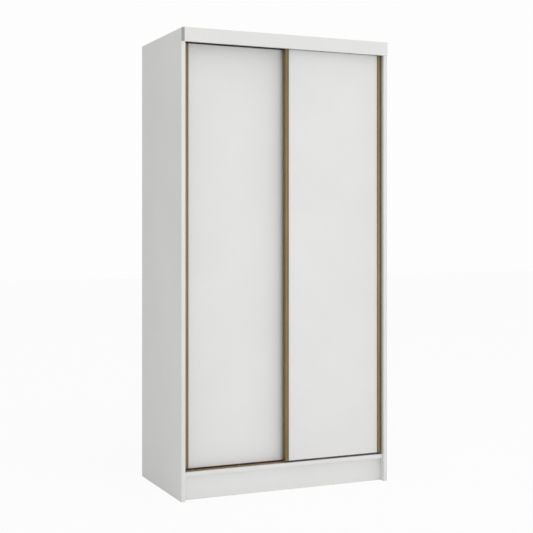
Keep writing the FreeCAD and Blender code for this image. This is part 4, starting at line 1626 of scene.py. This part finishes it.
@dataclass
class HangingRail:
    """An oval chromed tube in two sockets."""

    wall: float = 1.2 * MM
    steps: int = 16
    tube_edge: float = 0.2 * MM
    socket_edge: float = 0.6 * MM

    def oval(self, span: Span, inset: float) -> list[Point]:
        """Trace the tube's section.

        Args:
            span: The tube's box.
            inset: How far inside the outer face the outline runs.

        Returns:
            The outline, across the tube's length.
        """
        radius = span.size.y / 2.0 - inset
        straight = span.size.z / 2.0 - span.size.y / 2.0
        outline = []
        for step in range(2 * self.steps):
            turn = math.pi * (step + 0.5) / self.steps
            lift = straight if math.sin(turn) > 0 else -straight
            outline.append((span.centre.y + radius * math.cos(turn),
                            span.centre.z + lift + radius * math.sin(turn)))
        return outline

    def build(self) -> None:
        """Model the tube and its sockets."""
        span = node_span("hanging_rail")
        tube = section("hanging_rail_tube", self.oval(span, 0.0), Axis.X, span.low.x, span.high.x)
        bore = section("bore", self.oval(span, self.wall), Axis.X, span.low.x - OVERCUT,
                       span.high.x + OVERCUT)
        soften(cut(tube, [bore]), self.tube_edge)
        deliver("hanging_rail_tube", [tube], CHROME, CARCASS, "hanging_rail")
        SoftenedNode("rail_supports", CARCASS, CHROME, self.socket_edge, 3).build()


# ---------------------------------------------------------------- tracks

@dataclass
class Tracks:
    """The double bottom rail, the double top channel, their screws and the rubber stops."""

    plate: float = 1.5 * MM
    rail_width: float = 2.6 * MM
    fillet: float = 0.4 * MM
    nose: float = 0.5 * MM
    groove: float = 0.5 * MM
    groove_places: tuple[float, ...] = (0.2, 0.8)
    channel_half: float = 3.8 * MM
    wall: float = 1.5 * MM
    lip: float = 0.3 * MM
    edge: float = 0.12 * MM
    smooth: float = 50.0
    round_steps: int = 8
    rib_places: tuple[float, ...] = (0.2, 0.4, 0.6, 0.8)
    rib_half: float = 0.8 * MM
    rib_depth: float = 1.5 * MM
    stop_edge: float = 0.4 * MM
    screw_head: float = 2.0 * MM

    def lines(self) -> tuple[float, float]:
        """Return the planes of the front door and of the rear door."""
        return node_span("right_door_panel").centre.y, node_span("left_door_panel").centre.y

    def bottom(self) -> None:
        """Model the bottom track: a grooved plate with two round-topped rails."""
        span = node_span("bottom_track")
        base, top, high = span.low.z, span.low.z + self.plate, span.high.z
        r = self.rail_width / 2.0
        start, end = span.low.y, span.high.y
        outline = [(start, base), (start, top - self.fillet), (start + self.nose, top)]
        front, rear = self.lines()
        grooves = [front + (rear - front) * share for share in self.groove_places]
        for y, following in ((front, grooves), (rear, [])):
            outline += [(y - r - self.fillet, top), (y - r, top + self.fillet)]
            for step in range(self.round_steps + 1):
                turn = math.pi * (1.0 - step / self.round_steps)
                outline.append((y + r * math.cos(turn), high - r + r * math.sin(turn)))
            outline += [(y + r, top + self.fillet), (y + r + self.fillet, top)]
            for g in following:
                outline += [(g - self.groove, top), (g, top - self.groove), (g + self.groove, top)]
        outline += [(end - self.nose, top), (end, top - self.fillet), (end, base)]
        track = section("bottom_track_rail", outline, Axis.X, span.low.x, span.high.x)
        soften(track, self.edge, 1, self.smooth)
        deliver("bottom_track_rail", [track], GOLD_TRACK, CARCASS, "bottom_track")

    def top(self) -> None:
        """Model the top track: a plate with two channels that open downwards."""
        span = node_span("top_track")
        low, high = span.low.z, span.high.z
        under = high - self.wall
        outline = [(span.low.y, high)]
        for y in self.lines():
            for side in (-1, 1):
                near, far = sorted((y + side * (self.channel_half + self.wall),
                                    y + side * self.channel_half))
                if outline[-1][0] < near - SAME:
                    outline.append((near, under))
                outline += [(near, low + self.lip), (near + self.lip, low),
                            (far - self.lip, low), (far, low + self.lip), (far, under)]
        outline[-1] = (span.high.y, high)
        track = section("top_track_channel", outline, Axis.X, span.low.x, span.high.x)
        soften(track, self.edge, 1)
        # The top track is drawn in the dark tone that is painted shade.
        deliver("top_track_channel", [track], TOP_TRACK_SHADE, CARCASS, "top_track")

    def stops(self) -> None:
        """Model the rubber stops, ribbed across their undersides."""
        blocks = []
        for solid in solids_of("door_stops"):
            span = solid.span
            stop = block("stop", span)
            front, rear, floor = span.low.y - OVERCUT, span.high.y + OVERCUT, span.low.z
            tools = []
            for share in self.rib_places:
                x = span.low.x + span.size.x * share
                tools.append(block("rib_gap", cuboid(
                    (x - self.rib_half, front, floor - OVERCUT),
                    (x + self.rib_half, rear, floor + self.rib_depth))))
            blocks.append(soften(cut(stop, tools), self.stop_edge))
        deliver("door_stop_set", blocks, RUBBER, CARCASS, "door_stops")

    def build(self) -> None:
        """Model both tracks with their screws and stops."""
        self.bottom()
        self.top()
        self.stops()
        PanScrews("track_screws", CARCASS, self.screw_head).build()


# ---------------------------------------------------------------- doors

@dataclass
class Wheel:
    """A grooved wheel with a hub, a thin web and a ring of holes in it."""

    node: str
    bore: float = 2.05 * MM
    hub: float = 4.0 * MM
    rim: float = 1.8 * MM
    flange: float = 2.0 * MM
    groove: float = 1.8 * MM
    web_sink: float = 1.2 * MM
    edge: float = 0.3 * MM
    lip: float = 0.2 * MM
    hole: float = 1.3 * MM
    holes: int = 6
    hole_steps: int = 16
    steps: int = 48
    smooth: float = 30.0

    def build(self) -> None:
        """Turn the wheel, drill its web, set it on its axle and hand it over."""
        span = node_span(self.node)
        half = span.size.y / 2.0
        radius = span.size.x / 2.0
        tread = radius - self.flange
        rim = tread - self.rim
        web = half - self.web_sink
        side = [
            (self.bore, half), (self.hub, half), (self.hub, web), (rim, web), (rim, half),
            (radius - self.edge, half), (radius, half - self.edge),
            (radius, self.groove + self.lip), (radius - self.lip, self.groove),
            (tread, self.groove),
        ]
        profile = [(r, -y) for r, y in side] + side[::-1]
        wheel = lathe("wheel", profile, self.steps)
        ring = (self.hub + rim) / 2.0
        holes = []
        for step in range(self.holes):
            turn = math.radians(360.0 / self.holes * step)
            x, y = ring * math.cos(turn), ring * math.sin(turn)
            holes.append(rod("hole", Vector((x, y, -half)), Vector((x, y, half)), self.hole,
                             self.hole_steps))
        shade(cut(wheel, holes), self.smooth)
        placed = copied(wheel, span.centre, Axis.Y.unit)
        bpy.data.objects.remove(wheel)
        deliver(f"{self.node}_piece", [placed], NYLON, f"{self.node}_body", self.node)


@dataclass
class PileStrip:
    """A pile strip: a woven back and a dense row of tufts on it."""

    span: Span
    axis: Axis
    away: float
    along: Axis
    tuft: float = 2.4 * MM
    tuft_share: float = 0.85
    back_share: float = 0.25
    root_share: float = 0.5
    end_share: float = 0.5
    taper: float = 0.72
    edge: float = 0.1 * MM

    def layer(self, start: float, end: float) -> Span:
        """Return the strip's box between two depths, measured from its back.

        Args:
            start: The depth of one side.
            end: The depth of the other.

        Returns:
            The box.
        """
        i = self.axis.value
        root = self.span.low[i] if self.away > 0 else self.span.high[i]
        box = Span(self.span.low.copy(), self.span.high.copy())
        box.low[i], box.high[i] = sorted((root + self.away * start, root + self.away * end))
        return box

    def build(self) -> bpy.types.Object:
        """Model the back and the tufts.

        Returns:
            Both as one object.
        """
        i, run = self.axis.value, self.along.value
        depth = self.span.size[i]
        base = self.back_share * depth
        backing = soften(block("backing", self.layer(0.0, base)), self.edge, 1)
        first = self.layer(base * self.root_share, depth)
        first.high[run] = first.low[run] + self.tuft * self.tuft_share
        tip = first.high[i] if self.away > 0 else first.low[i]
        middle = first.centre
        tuft = block("tuft", first)
        for vertex in tuft.data.vertices:
            if abs(vertex.co[i] - tip) < SAME:
                for j in self.axis.others:
                    vertex.co[j] = middle[j] + (vertex.co[j] - middle[j]) * self.taper
        count = int((self.span.size[run] - self.end_share * self.tuft) / self.tuft)
        apply_modifier(tuft, "ARRAY", count=count, use_relative_offset=False,
                       use_constant_offset=True,
                       constant_offset_displace=self.along.unit * self.tuft)
        return joined("strip", [backing, tuft])


@dataclass
class Door:
    """One sliding door, with everything that travels on it."""

    name: str
    outer: Side
    crown: float = 5.0 * MM
    corner: float = 5.0 * MM
    curl: float = 4.2 * MM
    fall: float = 0.6 * MM
    bulge: float = 0.45 * MM
    wall: float = 1.5 * MM
    rear_leg: float = 14.0 * MM
    leg_gap: float = 0.05 * MM
    stile_edge: float = 0.15 * MM
    stile_smooth: float = 35.0
    pocket_skin: float = 3.0 * MM
    roller_plate: tuple[float, float] = (9.0 * MM, 14.0 * MM)
    guide_plate: tuple[float, float] = (10.0 * MM, 6.0 * MM)
    pocket_fit: float = 0.1 * MM
    housing_edge: float = 0.4 * MM
    guide_edge: float = 0.5 * MM
    corner_steps: int = 6
    crown_steps: int = 12

    def build(self) -> None:
        """Model the panel, the stiles, the fittings and the seals."""
        self.panel()
        inner = Side.RIGHT if self.outer is Side.LEFT else Side.LEFT
        for part, side in (("outer_stile", self.outer), ("inner_stile", inner)):
            self.stile(f"{self.name}_{part}", side)
        for part in ("roller_housings", "guide_housings"):
            SoftenedNode(f"{self.name}_{part}", self.name, PLASTIC_GREY, self.housing_edge).build()
        for hand in ("left", "right"):
            Wheel(f"{self.name}_wheel_{hand}").build()
            guide = f"{self.name}_guide_{hand}"
            SoftenedNode(guide, f"{guide}_body", PLASTIC_GREY, self.guide_edge).build()
        self.seals()
        PanScrews(f"{self.name}_screws", self.name).build()
        dress_node(f"{self.name}_axles", ZINC)

    def panel(self) -> None:
        """Model the panel, with the pockets that its fittings are let into."""
        node = f"{self.name}_panel"
        span = node_span(node)
        front, rear = span.low.y + self.pocket_skin, span.high.y + OVERCUT
        side, top = self.roller_plate
        pockets = [(box, side, span.low.z - OVERCUT, box.high.z - top)
                   for box in self.boxes("roller_housings")]
        side, foot = self.guide_plate
        pockets += [(box, side, box.low.z + foot, span.high.z + OVERCUT)
                    for box in self.boxes("guide_housings")]
        tools = [block("pocket", cuboid((box.low.x + side - self.pocket_fit, front, low),
                                        (box.high.x - side + self.pocket_fit, rear, high)))
                 for box, side, low, high in pockets]
        Board(node, (Side.TOP, Side.BOTTOM), self.name, tools=tools).build()

    def boxes(self, part: str) -> list[Span]:
        """Return the box of each solid of one of the door's nodes."""
        return [solid.span for solid in solids_of(f"{self.name}_{part}")]

    def stile(self, node: str, side: Side) -> None:
        """Model a stile: a crowned face that turns over the panel's edge and grips its rear.

        Args:
            node: The frame node.
            side: The side of the door that it closes.
        """

        span = node_span(node)
        panel = node_span(f"{self.name}_panel")
        edge = span.low.x if side is Side.LEFT else span.high.x
        inward = 1.0 if side is Side.LEFT else -1.0
        face = panel.low.y
        depth = panel.size.y
        width = span.size.x

        def at(u: float, d: float) -> Point:
            """Place a point of the section, u inwards from the edge and d back from the face."""
            return edge + inward * u, face + d

        turns = [math.pi / 2.0 * step / self.corner_steps for step in range(self.corner_steps + 1)]
        outline = [at(0.0, depth + self.wall)]
        outline += [at(self.corner * (1.0 - math.cos(turn)),
                       self.corner * (1.0 - math.sin(turn)) - self.crown) for turn in turns]
        flat = width - self.corner - self.curl
        for step in range(1, self.crown_steps):
            share = step / self.crown_steps
            rise = 4.0 * self.bulge * share * (1.0 - share)
            outline.append(at(self.corner + flat * share, self.fall * share - self.crown - rise))
        outline += [at(width - self.curl * (1.0 - math.sin(turn)),
                       self.fall - self.crown + self.curl * (1.0 - math.cos(turn)))
                    for turn in turns]
        outline += [
            at(width, self.leg_gap), at(width - self.wall, self.leg_gap),
            at(self.wall, self.wall - self.crown), at(self.wall, depth),
            at(self.rear_leg, depth), at(self.rear_leg, depth + self.wall),
        ]
        name = f"{node}_section"
        stile = section(name, outline, Axis.Z, span.low.z, span.high.z)
        soften(stile, self.stile_edge, 1, self.stile_smooth)
        deliver(name, [stile], GOLD_UPRIGHT, self.name, node)

    def seals(self) -> None:
        """Model the pile strips on the stiles and along the panel's foot."""
        node = f"{self.name}_pile_seals"
        middle = node_span(f"{self.name}_outer_stile").centre.x
        strips = []
        for span in self.boxes("pile_seals"):
            if span.size.x > span.size.z:
                strip = PileStrip(span, Axis.Z, -1.0, Axis.X)
            elif span.size.x < span.size.y:
                away = -1.0 if span.centre.x < middle else 1.0
                strip = PileStrip(span, Axis.X, away, Axis.Z)
            else:
                strip = PileStrip(span, Axis.Y, 1.0, Axis.Z)
            strips.append(strip.build())
        deliver(f"{node}_strips", strips, PILE, self.name, node)


# ---------------------------------------------------------------- studio

@dataclass(frozen=True)
class Lamp:
    """A square area light: where it hangs, the point it faces, its side and its power in watts."""

    name: str
    place: Vector
    target: Vector
    size: float
    power: float

    def hang(self) -> None:
        """Add the light to the scene."""
        data = bpy.data.lights.new(self.name, "AREA")
        data.shape = "SQUARE"
        data.size = self.size
        data.energy = self.power
        lamp = bpy.data.objects.new(self.name, data)
        lamp.location = self.place
        lamp.rotation_euler = (self.target - self.place).to_track_quat("-Z", "Y").to_euler()
        bpy.context.scene.collection.objects.link(lamp)


LAMPS = (
    Lamp("front_light", Vector((0.8, -7.0, 0.6)), Vector((0.0, 0.0, 0.4)), 3.5, 118.0),
    Lamp("right_light", Vector((6.5, -3.0, 0.9)), Vector((0.0, 0.0, 0.4)), 3.5, 40.0),
    Lamp("top_light", Vector((0.0, -2.5, 6.0)), Vector((0.0, -2.2, 0.0)), 5.0, 30.0),
)


@dataclass
class Studio:
    """A pale floor, soft lights and the camera."""

    floor_size: float = 40.0
    floor_tone: float = 0.975
    floor_grain: float = 0.01
    floor_glow: float = 0.9
    fill: float = 0.67
    backdrop: float = 0.984
    camera_place: Vector = Vector((-2.084, -4.706, 1.160))
    heading: float = 24.01
    lens: float = 75.09
    sensor: float = 36.0
    drop: float = -0.0717
    reach: float = 200.0

    def build(self) -> None:
        """Set up the floor, the world, the lights and the camera."""
        self.floor()
        self.world()
        for lamp in LAMPS:
            lamp.hang()
        self.camera()

        view = bpy.context.scene.view_settings
        view.view_transform = "Standard"
        view.look = "None"
        view.exposure = 0.0
        view.gamma = 1.0

    def floor(self) -> None:
        """Lay a large pale floor that glows a little, as a lit studio sweep does."""
        deselect()
        bpy.ops.mesh.primitive_plane_add(size=self.floor_size, location=(0.0, 0.0, 0.0))
        floor = settle(bpy.context.object, "studio_floor")
        made = bpy.data.materials.new("studio_floor_paper")
        made.use_nodes = True
        made.node_tree.nodes.clear()
        graph = Graph(made.node_tree)
        grain = graph.fit(graph.noise(graph.place(), 30.0, 3.0), 0.3, 0.7,
                          self.floor_tone - self.floor_grain, self.floor_tone + self.floor_grain)
        tone = graph.add("CombineColor", {0: grain, 1: grain, 2: grain}).outputs[0]
        paper = graph.add("BsdfDiffuse", {"Color": tone})
        glow = graph.add("Emission", {"Color": WHITE, "Strength": 1.0})
        seen = graph.add("LightPath").outputs["Is Camera Ray"]
        share = graph.math("MULTIPLY", seen, self.floor_glow)
        mixed = graph.add("MixShader", {0: share, 1: paper.outputs[0], 2: glow.outputs[0]})
        graph.add("OutputMaterial", {"Surface": mixed.outputs[0]})
        floor.data.materials.append(made)

    def world(self) -> None:
        """Surround the scene with even white light, brighter to the eye than it lights."""
        world = bpy.data.worlds.new("studio_world")
        bpy.context.scene.world = world
        world.use_nodes = True
        world.node_tree.nodes.clear()
        graph = Graph(world.node_tree)
        soft, white = [graph.add("Background", {"Color": WHITE, "Strength": strength})
                       for strength in (self.fill, self.backdrop)]
        seen = graph.add("LightPath").outputs["Is Camera Ray"]
        mixed = graph.add("MixShader", {0: seen, 1: soft.outputs[0], 2: white.outputs[0]})
        graph.add("OutputWorld", {"Surface": mixed.outputs[0]})

    def camera(self) -> None:
        """Set the camera level, to the front left of the wardrobe."""
        data = bpy.data.cameras.new("studio_camera")
        data.lens = self.lens
        data.sensor_width = self.sensor
        data.shift_y = self.drop
        data.clip_end = self.reach
        camera = bpy.data.objects.new("studio_camera", data)
        camera.location = self.camera_place
        camera.rotation_euler = (math.radians(90.0), 0.0, math.radians(-self.heading))
        bpy.context.scene.collection.objects.link(camera)
        bpy.context.scene.camera = camera


GLIDE_PROFILE = (
    (0.0, 0.0), (6.5 * MM, 0.0), (7.3 * MM, -0.3 * MM), (7.5 * MM, -0.7 * MM),
    (7.5 * MM, -1.0 * MM), (1.0 * MM, -1.0 * MM), (1.0 * MM, -11.5 * MM), (0.0, -13.0 * MM),
)


def main() -> None:
    """Build the wardrobe piece by piece, then the studio."""
    cams = CamLocks()
    pins = ShelfPins()
    Carcass(cams, pins).build()
    BackSheets().build()
    cams.build()
    pins.build()
    Brackets().build()
    PanScrews("carcass_screws", CARCASS).build()
    RoundFittings("floor_glides", PLASTIC_GREY, GLIDE_PROFILE, Axis.Z, -1).build()
    SoftenedNode("plinth_blocks", CARCASS, PLASTIC_WHITE, 1.0 * MM, 3).build()
    HangingRail().build()
    Tracks().build()
    Door("left_door", Side.LEFT).build()
    Door("right_door", Side.RIGHT).build()
    dress_node("cam_bolts", ZINC)
    dress_node("dowels", BEECH)
    Studio().build()


if __name__ == "__main__":
    main()
